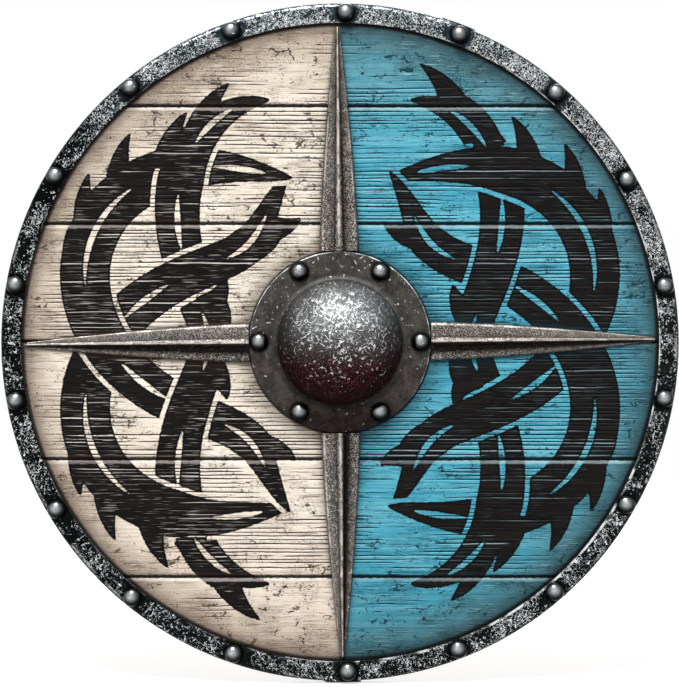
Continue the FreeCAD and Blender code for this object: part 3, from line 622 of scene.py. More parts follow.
def worn_leather(colour):
    """Vegetable-tanned strip, handled dark: pebbled grain, creases across it, paler rubbed laps."""
    material, tree = new_material("vegetable_tanned_leather")
    place = add_node(tree, "TexCoord", {}, "Object")
    lap = add_node(tree, "Attribute", {}, "Fac", attribute_name="lap")
    pebble = add_node(tree, "TexVoronoi", {"Vector": place, "Scale": 1 / 0.0011}, "Distance")
    creased = add_node(tree, "Mapping", {"Vector": place, "Scale": (420, 420, 90)})
    crease = add_node(tree, "TexNoise", {
        "Vector": creased, "Scale": 1.0, "Detail": 4.0, "Distortion": 1.0}, "Fac")
    blotch = add_node(tree, "TexNoise", {"Vector": place, "Scale": 1 / 0.014, "Detail": 3.0}, "Fac")
    base = np.array(colour[:3])
    result = tuple(colour)
    for value, low, high, share, tone in (
            (blotch, 0.42, 0.66, 0.7, base * 0.45), (crease, 0.55, 0.7, 0.5, base * 0.35),
            (pebble, 0.25, 0.6, 0.3, base * 1.7), (lap, 0.5, 0.95, 0.55, base * 2.2),
            (lap, 0.12, 0.0, 0.8, base * 0.2)):
        amount = add_node(tree, "MapRange", {0: value, 1: low, 2: high, 3: 0.0, 4: share},
                          interpolation_type="SMOOTHSTEP")
        result = add_node(tree, "Mix", {0: amount, 6: result, 7: (*np.clip(tone, 0, 1), 1)}, 2,
                          data_type="RGBA")
    roughness = add_node(tree, "MapRange", {0: crease, 3: 0.36, 4: 0.66})
    height = add_node(tree, "Math", {0: pebble, 1: -0.6, 2: crease}, operation="MULTIPLY_ADD")
    finish_surface(tree, result, roughness, height, 0.2 * MM)
    return material


# The painted design
PAINT_STEP = 1.0
PAINT_REACH = 300.0
BRAID_REACH = math.radians(74)


def braid_strand(number, side, width):
    """Strand of a plait of three that follows the rim of one half round and ends in long points.

    Its radius is a sine of the angle round the shield, a third of a wave apart from strand to
    strand. side is -1 for the left half and 1 for the right. Gives points (x, z) and half widths.
    """
    turn = np.linspace(-BRAID_REACH, BRAID_REACH, 361)
    wave = np.sin(2.5 * turn + 2 * np.pi * number / 3 + 0.52)
    radius = 180 + 62 * wave * (1 - 0.25 * (turn / BRAID_REACH) ** 4)
    angle = turn + (0 if side > 0 else math.pi)
    tip = np.clip((BRAID_REACH - np.abs(turn)) / 0.5, 0, 1)
    half_width = width / 2 * tip ** 0.7 * (1 + 0.14 * wave)
    return np.stack([radius * np.cos(angle), radius * np.sin(angle)], axis=1), half_width, wave


class PaintField:
    """Distance in millimetres to the edge of the painted design, below 0 inside, on a square raster."""

    def __init__(self):
        count = int(2 * PAINT_REACH / PAINT_STEP) + 1
        self.axis = np.linspace(-PAINT_REACH, PAINT_REACH, count)
        self.value = np.full((count, count), 60.0)

    def near(self, line, half_width, margin):
        """Window round a line, and there the distance to the line less its half width.

        Beyond the line's square ends the distance is set far away.
        """
        low = np.searchsorted(self.axis, line.min(axis=0) - margin)
        high = np.searchsorted(self.axis, line.max(axis=0) + margin)
        window = (slice(low[0], high[0]), slice(low[1], high[1]))
        x, z = np.meshgrid(self.axis[window[0]], self.axis[window[1]], indexing="ij")
        best, past = np.full(x.shape, 1e3), np.zeros(x.shape, bool)
        last = len(line) - 2
        for index in range(last + 1):
            a, b = line[index], line[index + 1]
            ab = b - a
            share = ((x - a[0]) * ab[0] + (z - a[1]) * ab[1]) / max(ab @ ab, 1e-9)
            inner = np.clip(share, 0, 1)
            gap = np.hypot(x - a[0] - inner * ab[0], z - a[1] - inner * ab[1])
            gap -= half_width[index] * (1 - inner) + half_width[index + 1] * inner
            closer = gap < best
            best = np.where(closer, gap, best)
            past = np.where(closer, (index == 0) & (share < 0) | (index == last) & (share > 1), past)
        return window, np.where(past, 1e3, best)

    def paint(self, line, half_width, gap=0):
        """Paint a stroke over what is there, with a bare line of the given width beside it."""
        window, distance = self.near(line, half_width, half_width.max() + gap + 2)
        under = self.value[window]
        if gap:
            under = np.maximum(under, gap - distance)
        self.value[window] = np.minimum(under, distance)

    def carve(self, line, half_width):
        """Leave a bare slit along a line."""
        window, distance = self.near(line, half_width, half_width.max() + 2)
        self.value[window] = np.maximum(self.value[window], -distance)

    def at(self, x, z):
        """Distance at places (x, z), eased between the raster's points."""
        i = np.clip((x + PAINT_REACH) / PAINT_STEP, 0, len(self.axis) - 1.001)
        j = np.clip((z + PAINT_REACH) / PAINT_STEP, 0, len(self.axis) - 1.001)
        i0, j0 = i.astype(int), j.astype(int)
        s, t = i - i0, j - j0
        low = self.value[i0, j0] * (1 - s) + self.value[i0 + 1, j0] * s
        high = self.value[i0, j0 + 1] * (1 - s) + self.value[i0 + 1, j0 + 1] * s
        return low * (1 - t) + high * t


def hooked_blade(root, heading, bend, length, half_width):
    """Blade that leaves its root in a heading, bends steadily and thins to a point."""
    share = np.linspace(0, 1, 14)
    turn = heading + bend * share
    pace = length / len(share)
    line = root + pace * np.cumsum(np.stack([np.cos(turn), np.sin(turn)], axis=1), axis=0)
    return line, half_width * (1 - share) ** 0.8


def braid_work(width, gap):
    """Plait of three strands in each half round, with blades on its bends and slits along it.

    Each strand goes over and under in turn: the stretches that pass under are painted first, then
    those that pass over, with a bare line beside them.
    """
    field = PaintField()
    for side in (-1, 1):
        strands = [braid_strand(number, side, width) for number in range(3)]
        meetings = []
        for i, j in ((0, 1), (0, 2), (1, 2)):
            apart = strands[i][2] - strands[j][2]
            meetings += [(place, i, j) for place in np.flatnonzero(apart[1:] * apart[:-1] < 0)]
        over_last, places = [True, False, True], [[], [], []]
        for place, i, j in sorted(meetings):
            i_over = not over_last[i]
            over_last[i], over_last[j] = i_over, not i_over
            places[i].append((place, i_over))
            places[j].append((place, not i_over))
        for over in (False, True):
            for (line, half_width, _), marks in zip(strands, places):
                stops = [place for place, _ in marks]
                edges = [0] + [(a + b) // 2 for a, b in zip(stops, stops[1:])] + [len(line) - 1]
                for (_, is_over), start, end in zip(marks, edges, edges[1:]):
                    if is_over == over:
                        part = slice(max(0, start - 1), end + 2)
                        field.paint(line[part], half_width[part], gap if over else 0)
        for line, half_width, wave in strands:
            reach = np.hypot(*line.T)
            for place in range(20, 341, 26):
                outward, inward = wave[place] > 0.62, wave[place] < -0.72
                if not (outward or inward) or half_width[place] < width * 0.24:
                    continue
                radial = math.atan2(line[place, 1], line[place, 0])
                away = 1 if place > 180 else -1
                heading = radial + (away * 0.75 if outward else math.pi - away * 0.75)
                bend = away * (0.75 if outward else -0.9)
                length = 1.5 * width if outward else width
                field.paint(*hooked_blade(line[place], heading, bend, length, width * 0.36))
        for (line, half_width, wave), marks in zip(strands, places):
            stops = [8] + [place for place, _ in marks] + [352]
            for a, b in zip(stops, stops[1:]):
                spare = int(0.24 * (b - a))
                part = slice(a + spare, b - spare)
                share = np.linspace(0, np.pi, len(line[part]))
                if len(share) > 6:
                    field.carve(line[part], 2.6 * np.sin(share) ** 0.7)
    return field


# Planks
def arm_half_width(share):
    """Half the width of an arm: it falls slowly at first and then evenly to the tip."""
    return (ARM_TIP_WIDTH + (ARM_WIDTH - ARM_TIP_WIDTH) * (1 - share ** ARM_TAPER)) / 2


def plank_rows(low, high, pitch, rng):
    """Heights of a plank's rows of points, with each row's groove and its height above that groove.

    Seven rows follow each groove across its width and one lies between two grooves.
    """
    across = np.array([-0.95, -0.62, -0.32, 0.0, 0.32, 0.62, 0.95])
    heights, grooves, offsets = [], [], []
    height, number = low + 0.7 * pitch, 0
    while height < high - 0.6 * pitch:
        heights += list(height + across)
        offsets += list(across)
        grooves += [number] * len(across)
        step = pitch * rng.uniform(0.72, 1.32)
        heights.append(height + step / 2)
        offsets.append(step / 2)
        grooves.append(number)
        height += step
        number += 1
    return np.array(heights[:-1]), np.array(grooves[:-1]), np.array(offsets[:-1])


def painted_arm_shade(x, z):
    """Painted shade beside the arms, from 1 at their edges to 0 some millimetres away."""
    arm_shade = np.zeros(np.broadcast(x, z).shape)
    for arm in range(4):
        turn = math.radians(CROSS_TURN + 90 * arm)
        along, across = x * math.cos(turn) + z * math.sin(turn), z * math.cos(turn) - x * math.sin(turn)
        share = (along - ARM_ROOT) / ARM_LENGTH
        beside = np.clip(share, 0, 1)
        gap = np.hypot(np.maximum(np.abs(across) - arm_half_width(beside), 0),
                       np.maximum(share - 1, 0) * ARM_LENGTH)
        arm_shade = np.maximum(arm_shade, np.exp(-gap / (3.4 - 1.6 * beside)) * (share > -0.1))
    return arm_shade


def plank_edges(number):
    """Heights of a plank's bottom and top edge, a seam's half width short of its neighbours."""
    bottom = SEAMS[number - 1] + 0.1 if number < 6 else BOARD_CUT - BOARD_RADIUS
    top = SEAMS[number - 2] - 0.1 if number > 1 else BOARD_RADIUS - BOARD_CUT
    return bottom, top


def sheet_sides(half):
    """Places of a sheet's columns across its width, from -1 to 0 and from 0 to 1."""
    share = np.linspace(0, 1, half)
    return np.concatenate([-share[::-1], share])[None, :]


def sheet_numbers(hole, half):
    """Point numbers of a sheet: its halves meet in one point on each row that the hand hole leaves whole."""
    ids = number_grid(len(hole), 2 * half)
    shut = hole[:, 0] < 0.01
    ids[shut, half] = ids[shut, half - 1]
    return ids


def plank_front(number, sizes, field):
    """Front sheet of a plank: rows that follow its wandering grooves, columns spread over its width.

    Depth is the bevels' depth plus each groove's rounded profile times a share that comes and goes
    along the grain, plus a small step from strip to strip. Gives points, point numbers and values.
    """
    rng = np.random.default_rng(100 + number)
    bottom, top = plank_edges(number)
    bevel_bottom, bevel_top = 2.1 if number < 6 else 0.5, 2.1 if number > 1 else 0.5
    heights, grooves, offsets = plank_rows(
        bottom + bevel_bottom, top - bevel_top, sizes.groove_pitch / MM, rng)
    margin_low = bottom + bevel_bottom * np.array([0, 0.35, 0.7, 0.93, 1.12])
    margin_high = top - bevel_top * np.array([1.12, 0.93, 0.7, 0.35, 0])
    heights = np.concatenate([margin_low, heights, margin_high])
    grooves = np.concatenate([np.full(5, -1), grooves, np.full(5, -1)])
    offsets = np.concatenate([np.full(5, 9.0), offsets, np.full(5, 9.0)])
    half = 170
    side = sheet_sides(half)
    nominal_z = heights[:, None]
    nominal_x = side * np.sqrt(np.maximum(BOARD_RADIUS ** 2 - nominal_z ** 2, 1))
    hold = ease(nominal_z, bottom + bevel_bottom, bottom + 12) * ease(-nominal_z, bevel_top - top, 12 - top)
    wander = 1.1 * soft_noise(nominal_x, nominal_z, 150, 26, number) \
        + 0.4 * soft_noise(nominal_x, nominal_z, 42, 13, number + 20) \
        + 0.3 * soft_noise(nominal_x, nominal_z, 16, 2.6, number + 30)
    z = nominal_z + wander * hold
    hole = np.sqrt(np.maximum(HAND_HOLE ** 2 - z[:, half] ** 2, 0))[:, None]
    edge = np.sqrt(np.maximum(BOARD_RADIUS ** 2 - z ** 2, 1))
    x = np.sign(side) * hole + side * (edge - hole)
    groove_key = grooves[:, None] * 7.7 + 0.5
    presence = 0.5 + 0.4 * soft_noise(x, groove_key, 36, 1, number + 40) \
        + 0.2 * soft_noise(x, groove_key, 11, 1, number + 45) + 0.55 * soft_noise(x, z, 58, 30, number + 60)
    smoother = (0.1, 0.0, 0.0, 0.0, 0.12, 0.4)[number - 1]
    presence = presence - smoother
    rank = np.random.default_rng(number + 80).uniform(0.5, 1.15, 400)[grooves][:, None]
    clear = 0.2 + 0.8 * ease(BOARD_RADIUS - np.hypot(x, z), 8, 56)
    strength = np.clip(rank * ease(presence, 0.1, 0.66), 0.0, 1.15) * clear
    profile = np.interp(np.abs(offsets), [0, 0.32, 0.62, 0.95], [1, 0.66, 0.2, 0])[:, None]
    groove = np.where(grooves[:, None] >= 0, strength * profile, 0)
    # lip: a painted highlight along the lower lip of each groove
    lip = np.interp(-offsets, [0.2, 0.62, 0.95, 1.7], [0, 1, 0.75, 0])[:, None] * strength
    lip = np.where(grooves[:, None] >= 0, lip, 0)
    strip = np.where(offsets > 0, grooves, grooves - 1)[:, None] * 3.3
    level = 0.11 * (1 + soft_noise(x, strip, 75, 1, number + 90)) * hold * (1 - profile)
    bevel = np.zeros(x.shape)
    for gap, width, seed in ((z - bottom, bevel_bottom * (number < 6), number),
                             (top - z, bevel_top * (number > 1), number + 5)):
        if width:
            bevel = np.maximum(bevel, 1 - gap / (width * (1 + 0.16 * soft_noise(x, z * 0, 35, 1, seed))))
    uneven = 0.08 * (1 + soft_noise(x, z, 24, 7, number + 70))
    depth = groove * sizes.groove_depth / MM + level + uneven * hold + 2.0 * bevel
    far = 20 + 0 * z
    # arm_shade is painted shade on the boards beside the arms
    fields = {"groove": groove, "lip": lip, "design": field.at(x, z), "arm_shade": painted_arm_shade(x, z),
              "from_top": np.minimum(top - z, far) if number > 1 else far,
              "from_bottom": np.minimum(z - bottom, far) if number < 6 else far}
    points = np.stack(np.broadcast_arrays(x, BOARD_FRONT + depth, z), axis=-1)
    return points, sheet_numbers(hole, half), hole[:, 0], {key: part.ravel() for key, part in fields.items()}


def plank_back(number):
    """Flat back sheet of a plank, in rows and columns wide enough for a planed face."""
    bottom, top = plank_edges(number)
    heights = np.linspace(bottom, top, 25)
    if number in (3, 4):
        rim = HAND_HOLE if number == 3 else -HAND_HOLE
        heights = np.concatenate([np.linspace(bottom, rim, 25), np.linspace(rim, top, 10)[1:]])
    half = 60
    side = sheet_sides(half)
    z = np.broadcast_to(heights[:, None], (len(heights), 2 * half))
    hole = np.sqrt(np.maximum(HAND_HOLE ** 2 - z ** 2, 0))
    x = np.sign(side) * hole + side * (np.sqrt(BOARD_RADIUS ** 2 - z ** 2) - hole)
    points = np.stack([x, np.full(z.shape, BOARD_BACK), z], axis=-1)
    return points, sheet_numbers(hole, half), hole[:, 0]


def build_plank(number, sizes, field, materials):
    """A plank: relief in front, planed behind, with its bevels, tongue and groove, and hand hole.

    The tongue below and the groove above are profiles of (y, rise) carried along the seam.
    """
    front, front_ids, front_hole, values = plank_front(number, sizes, field)
    back, back_ids, back_hole = plank_back(number)
    front_flat, back_flat = front.reshape(-1, 3), back.reshape(-1, 3)
    back_ids = back_ids + len(front_flat)
    points = [front_flat, back_flat]
    total = len(front_flat) + len(back_flat)
    half, back_half = front_ids.shape[1] // 2, back_ids.shape[1] // 2
    painted = [grid_quads(front_ids[:, :half]), grid_quads(front_ids[:, half:])]
    plain = [grid_quads(back_ids[:, :back_half]), grid_quads(back_ids[:, back_half:])]
    everything = np.concatenate(points)

    def place(ids, axis):
        return everything[ids][:, axis]

    def wall(line, axis, far_line):
        a, b = place(line, axis), place(far_line, axis)
        plain.append(zip_lines(line, a, far_line, b))

    wall(front_ids[:, 0], 2, back_ids[:, 0])
    wall(front_ids[:, -1], 2, back_ids[:, -1])
    middle = (BOARD_FRONT + BOARD_BACK) / 2
    tongue, groove = (
        [(middle - 4, 0), (middle - width, 0), (middle - width, -height), (middle + width, -height),
         (middle + width, 0)] for width, height in ((2, 5), (2.15, 5.15)))
    for row, profile, seam in ((0, tongue, number < 6), (-1, groove, number > 1)):
        for line, far_line in ((front_ids[row, :half], back_ids[row, :back_half]),
                               (front_ids[row, half:], back_ids[row, back_half:])):
            if not seam:
                wall(line, 0, far_line)
                continue
            base = everything[far_line]
            lines = []
            for y, rise in profile:
                carried = base.copy()
                carried[:, 1] = y
                carried[:, 2] += rise
                lines.append(carried)
            ids = number_grid(len(lines), len(far_line), total)
            total += ids.size
            points.append(np.concatenate(lines))
            plain.append(zip_lines(line, place(line, 0), ids[0], base[:, 0]))
            plain.append(grid_quads(np.concatenate([ids, far_line[None, :]])))
            for end in (0, -1):
                ring = np.concatenate([ids[:, end], far_line[end:][:1] if end else far_line[:1]])
                plain.append(ring[None, [0, 1, 4, 5]])
                plain.append(ring[None, 1:5])
    if front_hole.max() > 0:
        open_rows = np.flatnonzero(front_hole > 0)
        far_rows = np.flatnonzero(back_hole > 0.01)
        if number == 3:
            rows, far = slice(0, open_rows[-1] + 2), slice(0, far_rows[-1] + 2)
        else:
            rows, far = slice(open_rows[0] - 1, None), slice(far_rows[0] - 1, None)
        wall(front_ids[rows, half - 1], 2, back_ids[far, back_half - 1])
        wall(front_ids[rows, half], 2, back_ids[far, back_half])
    faces = painted + plain
    slots = np.concatenate([np.zeros(sum(map(len, painted))), np.ones(sum(map(len, plain)))])
    name = f"plank_{number}_board"
    return add_piece(name, np.concatenate(points), faces, materials, (f"plank_{number}",),
                     values, slots, crease=50)


# Rim
def rim_profile():
    """Section of the rim sheet: outer line and inner line of (radius, y), and which way each point lifts."""
    front, back = node_box("rim_band_right")[0][1], node_box("rim_band_right")[1][1]
    bend, lip = 4.5, RIM_LIP
    turn = SHIELD_RADIUS - bend
    outer = np.concatenate([
        [[lip, front + 1.1], [lip + 0.04, front + 0.55], [lip + 0.3, front + 0.12]],
        line_points((lip + 0.8, front), (turn, front), 22),
        arc_points(turn, front + bend, bend, 90, 0, 9),
        line_points((SHIELD_RADIUS, front + bend + 1), (SHIELD_RADIUS, back - bend), 5),
        arc_points(turn, back - bend, bend, 0, -90, 6),
        line_points((turn - 1.5, back), (RIM_BACK_LIP + 0.4, back), 6),
        [[RIM_BACK_LIP + 0.3, back - 0.1], [RIM_BACK_LIP, back - 0.5]]])
    inner = np.concatenate([
        [[lip + 0.3, front + RIM_SHEET]],
        line_points((lip + 2, front + RIM_SHEET), (turn, front + RIM_SHEET), 4),
        arc_points(turn, front + bend, bend - RIM_SHEET, 90, 0, 4),
        arc_points(turn, back - bend, bend - RIM_SHEET, 0, -90, 4),
        [[RIM_BACK_LIP + 0.3, back - RIM_SHEET]]])
    line = np.concatenate([outer, inner[::-1]])
    middle = (front + back) / 2
    away = np.stack([ease(line[:, 0], turn - 1, SHIELD_RADIUS - 1),
                     np.where(np.abs(line[:, 1] - middle) > 3, np.sign(line[:, 1] - middle), 0.0)], axis=1)
    away[:, 1] *= ease(np.abs(line[:, 1] - middle), 3, 6.2)
    return line, away, len(outer)


def rim_rivet_angles():
    """Angles of the rim's rivets in degrees, evenly shared between the two laps on each side."""
    left_span = (LAP_ANGLES[1] - LAP_ANGLES[0]) / 10
    right_span = (360 - LAP_ANGLES[1] + LAP_ANGLES[0]) / 8
    left = [LAP_ANGLES[0] + left_span * number for number in range(11)]
    return np.array(left + [LAP_ANGLES[1] + right_span * number for number in range(1, 8)])


def build_rim(name, node, low, high, covers, seed, sizes, materials):
    """A rim band: its section carried round from one angle to the other, planished, scratched and worn.

    A band that covers the other's ends is lifted by one sheet at its own, and joggles down from there.
    Scratches and specks lie thick everywhere but beside the rivets, most of all at the top, and the
    long scratches are boldest low on the left. Wear runs along the inner edge and along the outer
    bend, and the inner edge is painted brighter towards the lower right and widest there, a painted
    highlight. A ring round each rivet is painted dark, as painted shade with some dirt, and the sheet
    is darker where it turns back.
    """
    rng = np.random.default_rng(seed)
    line, away, outer = rim_profile()
    middle_radius = 296
    count = int((high - low) * math.pi / 180 * middle_radius / 0.8)
    angle = np.linspace(low, high, count)
    from_end = np.minimum(angle - low, high - angle)[None, :]
    lift = RIM_SHEET * (1 - ease(from_end, 5.62, 6.59)) * covers
    run = np.concatenate([[0], np.cumsum(np.hypot(*np.diff(line, axis=0).T))])
    along, down = np.radians(angle)[None, :] * middle_radius, run[:, None]
    span = along[0, -1] - along[0, 0]
    shape = (len(line), count)
    number = np.arange(len(line))[:, None]
    hammer = 0.6 * soft_noise(along, down, 7.5, 6.5, seed) + 0.4 * soft_noise(along, down, 3.1, 2.9, seed + 1)
    normal = np.gradient(line, axis=0)
    normal /= np.linalg.norm(normal, axis=1, keepdims=True)
    dent = -sizes.hammer_depth / MM * (0.5 + 0.5 * hammer) * (number < outer)
    radius = line[:, :1] + away[:, :1] * lift + normal[:, 1:] * dent
    y = line[:, 1:] + away[:, 1:] * lift - normal[:, :1] * dent
    turn = np.radians(angle)[None, :]
    points = np.stack([radius * np.cos(turn), np.broadcast_to(y, shape), radius * np.sin(turn)], axis=-1)
    ids = number_grid(*shape)
    faces = [grid_quads(ids, wrap_rows=True)]
    back = np.arange(len(line) - 1, outer - 1, -1)
    for column in (0, -1):
        faces.append(zip_lines(ids[:outer, column], run[:outer] / run[outer - 1],
                               ids[back, column], np.linspace(0, 1, len(back))))

    def marks(amount, length, bend, strength, reach):
        u, v = rng.uniform(0, span, amount), rng.uniform(0, reach, amount)
        at_u, at_v, weight = scratch_lines(rng, u, v, length, bend, strength)
        column = np.clip(at_u / span * (count - 1), 0, count - 1)
        inside = (at_v > 0) & (at_v < run[outer - 1])
        row = np.interp(at_v[inside], run, number[:, 0])
        return splat(shape, row, column[inside], weight[inside], False)

    def toward(degrees, start, full):
        """1 where the rim lies in a direction from the middle, and 0 well away from there."""
        return ease(np.cos(np.radians(angle - degrees)), start, full)[None, :]

    def by_run(places, levels):
        """Levels at places along the section, which starts at the front lip."""
        return np.interp(run, places, levels)[:, None]

    fine = marks(int(span * 4.2), (2, 8), (0, 0.12), (0.3, 0.85), 46)
    bold = marks(int(span * 0.28), (4, 12), (0, 0.1), (0.5, 0.9), 30)
    low_left, low_right, top = toward(215, 0.45, 0.95), toward(320, 0.5, 0.95), toward(80, 0.2, 0.9)
    patch = 0.55 + 0.45 * soft_noise(along, down, 15, 10, seed + 2)
    even = 0.4 * low_left
    crowd = 0.26 + 0.48 * (patch * (1 - even) + 0.7 * even) + 0.3 * top + 0.06 * low_right - 0.06 * low_left
    crowd = np.clip(crowd, 0, 1)
    scratch = np.maximum(fine * (0.6 + 0.4 * patch) * (0.75 + 0.25 * top), bold * (0.5 + 0.5 * low_left))
    past_rivet = np.abs((angle[None, :] - rim_rivet_angles()[:, None] + 180) % 360 - 180).min(axis=0)
    degree = 5.16  # length of a degree on the rivets' circle
    apart = np.hypot(past_rivet[None, :] * degree, np.abs(line[:, 0] - RIVET_CIRCLE)[:, None])
    on_front = number < 30  # the section's points in front and round the bend
    shelter = np.where(on_front, ease(apart + 3 * patch, RIM_HEAD[0] + 2, RIM_HEAD[0] + 10), 1)
    scratch = scratch * (0.1 + 0.9 * shelter)
    worn = 0.5 + 0.5 * soft_noise(along, 0 * down, 9, 1, seed + 3)
    # The inner edge is worn bright, and brighter and widest towards the lower right, where it faces up to the
    # light: a painted highlight
    inner_edge = np.maximum(
        by_run([0, 0.9, 1.6, 2.6], [0.2, 1, 0.7, 0]) * (0.35 + 0.65 * toward(340, -0.3, 0.6)),
        by_run([0, 1.2, 2.6, 3.6], [0.4, 1, 1, 0]) * toward(312, 0.72, 0.95))
    outer_edge = by_run([14, 16, 18, 20], [0, 0.45, 0.25, 0])
    edge = np.maximum(inner_edge * (0.3 + 0.7 * ease(worn, 0.25, 0.75)), outer_edge * ease(worn, 0.5, 0.9))
    face = by_run([0, 0.5, 2, 15, 19, 24], [0, 0.3, 1, 1, 0.55, 0.4])
    # A dark ring round each rivet, painted shade with some dirt; turned_back makes the sheet darker where it
    # turns back
    foot = 0.85 * (1 - ease(apart, RIM_HEAD[0] - 0.3, RIM_HEAD[0] + 3.0)) * on_front
    turned_back = by_run([17.5, 20.5, 24], [0, 0.6, 0.75])
    values = {"scratch": np.clip(scratch, 0, 1).ravel(), "edge": edge.ravel(),
              "scuff": (ease(crowd, 0.2, 0.8) * shelter * face).ravel(),
              "grain": (0.9 * ease(crowd, 0.36, 0.95) * shelter * face).ravel(),
              "shade_and_soot": np.maximum(foot, turned_back).ravel()}
    return add_piece(name, points.reshape(-1, 3), faces, materials, (node,), values, crease=35)


# Rivets, boss
def turned_values(fields, kept):
    """Values per point of a turned patch, from fields of its profile's rows by its spokes, where kept."""
    return {key: np.concatenate([(field * kept)[1:-1].ravel(), [0, 0]]) for key, field in fields.items()}


def rivet_patch(x, z, seat, head, back, tail, seed, wear=0.45, crown_rows=20, spokes=48):
    """Rivet in one turned surface: domed head, shank through the board, and the flat tail behind.

    head and tail are pairs of radius and height. A painted highlight lies on the crown a little above
    and to the left of its middle, and painted shade darkens the head towards its foot, most low and
    to the right. Gives the patch and its values.
    """
    turn = np.linspace(0, np.pi / 2, crown_rows)
    dome = np.stack([head[0] * np.sin(turn), seat - 0.35 - (head[1] - 0.35) * np.cos(turn)], axis=1)
    stem = [[head[0], seat], [SHANK_RADIUS, seat + 0.05], [SHANK_RADIUS, back - 0.05], [tail[0], back]]
    turn = np.linspace(0, np.pi / 2, 7)
    foot = np.stack([tail[0] * np.cos(turn) ** 0.5,
                     back + 0.4 + (tail[1] - 0.4) * np.sin(turn) ** 0.8], axis=1)
    foot[-1, 0] = 0
    profile = np.concatenate([dome, stem, foot])
    angle = np.linspace(0, 2 * np.pi, spokes, endpoint=False)[None, :]
    u, v = profile[:, :1] * np.cos(angle) / head[0], profile[:, :1] * np.sin(angle) / head[0]
    in_front = np.arange(len(profile))[:, None] < crown_rows
    dent = 0.05 * soft_noise(u, v, 0.42, 0.4, seed) + 0.02 * soft_noise(u, v, 0.17, 0.15, seed + 1)
    points, faces = turned(profile, spokes, x, z, out=-np.abs(dent * in_front))
    # A painted highlight on the crown, above and left of its middle, and softer round it
    crown = np.exp(-((u + 0.12) / 0.42) ** 2 - ((v - 0.24) / 0.38) ** 2)
    crown = crown * (0.8 + 0.2 * soft_noise(u, v, 0.2, 0.2, seed + 2))
    halo = np.exp(-(np.hypot(u, v - 0.15) / 0.62) ** 4)
    # Painted shade: darker towards the head's foot, most low and to the right
    low = ease(np.hypot(u, v) - 0.55 * v + 0.22 * u, 0.5, 1.2)
    fields = {"scratch": wear * ease(soft_noise(u, v, 0.16, 0.13, seed + 3), 0.62, 0.95) * halo,
              "sheen": 0.8 * crown + 0.08 * halo, "shade_and_soot": 0.93 * low}
    return points, faces, turned_values(fields, in_front)


def add_rivets(name, node, patches, materials):
    """One piece out of several rivet patches."""
    points, faces = joined([(patch[0], patch[1]) for patch in patches])
    values = {key: np.concatenate([patch[2][key] for patch in patches]) for key in patches[0][2]}
    return add_piece(name, points, faces, materials, (node,), values, crease=38)


def build_rim_rivets(materials):
    """Eighteen domed rivets through the rim, one sheet higher where the bands lap."""
    front, back = node_box("rim_band_right")[0][1], node_box("rim_band_right")[1][1]
    patches = []
    for number, angle in enumerate(rim_rivet_angles()):
        at_lap = min(abs(angle - lap) for lap in LAP_ANGLES) < 1
        lift = RIM_SHEET if at_lap else 0.0
        x, z = RIVET_CIRCLE * math.cos(math.radians(angle)), RIVET_CIRCLE * math.sin(math.radians(angle))
        patches.append(rivet_patch(x, z, front - lift, RIM_HEAD, back + lift, (4.5, 2.0), 300 + 5 * number))
    return add_rivets("rim_rivet_heads", "rim_rivets", patches, materials)


def boss_rivet_places():
    """Middles (x, z) of the boss's rivets."""
    for angle in np.radians(60 * np.arange(6)):
        yield BOSS_RIVET_CIRCLE * math.cos(angle), BOSS_RIVET_CIRCLE * math.sin(angle)


def build_boss_rivets(materials):
    """Six domed rivets through the boss flange and the planks, with their tails on washers."""
    seat, back = BOARD_FRONT - BOSS_SHEET, BOARD_BACK + BOSS_WASHER
    patches = [rivet_patch(x, z, seat, BOSS_HEAD, back, (4.25, 2.0), 500 + 5 * number, 1.0)
               for number, (x, z) in enumerate(boss_rivet_places())]
    return add_rivets("boss_rivet_heads", "boss_rivets", patches, materials)


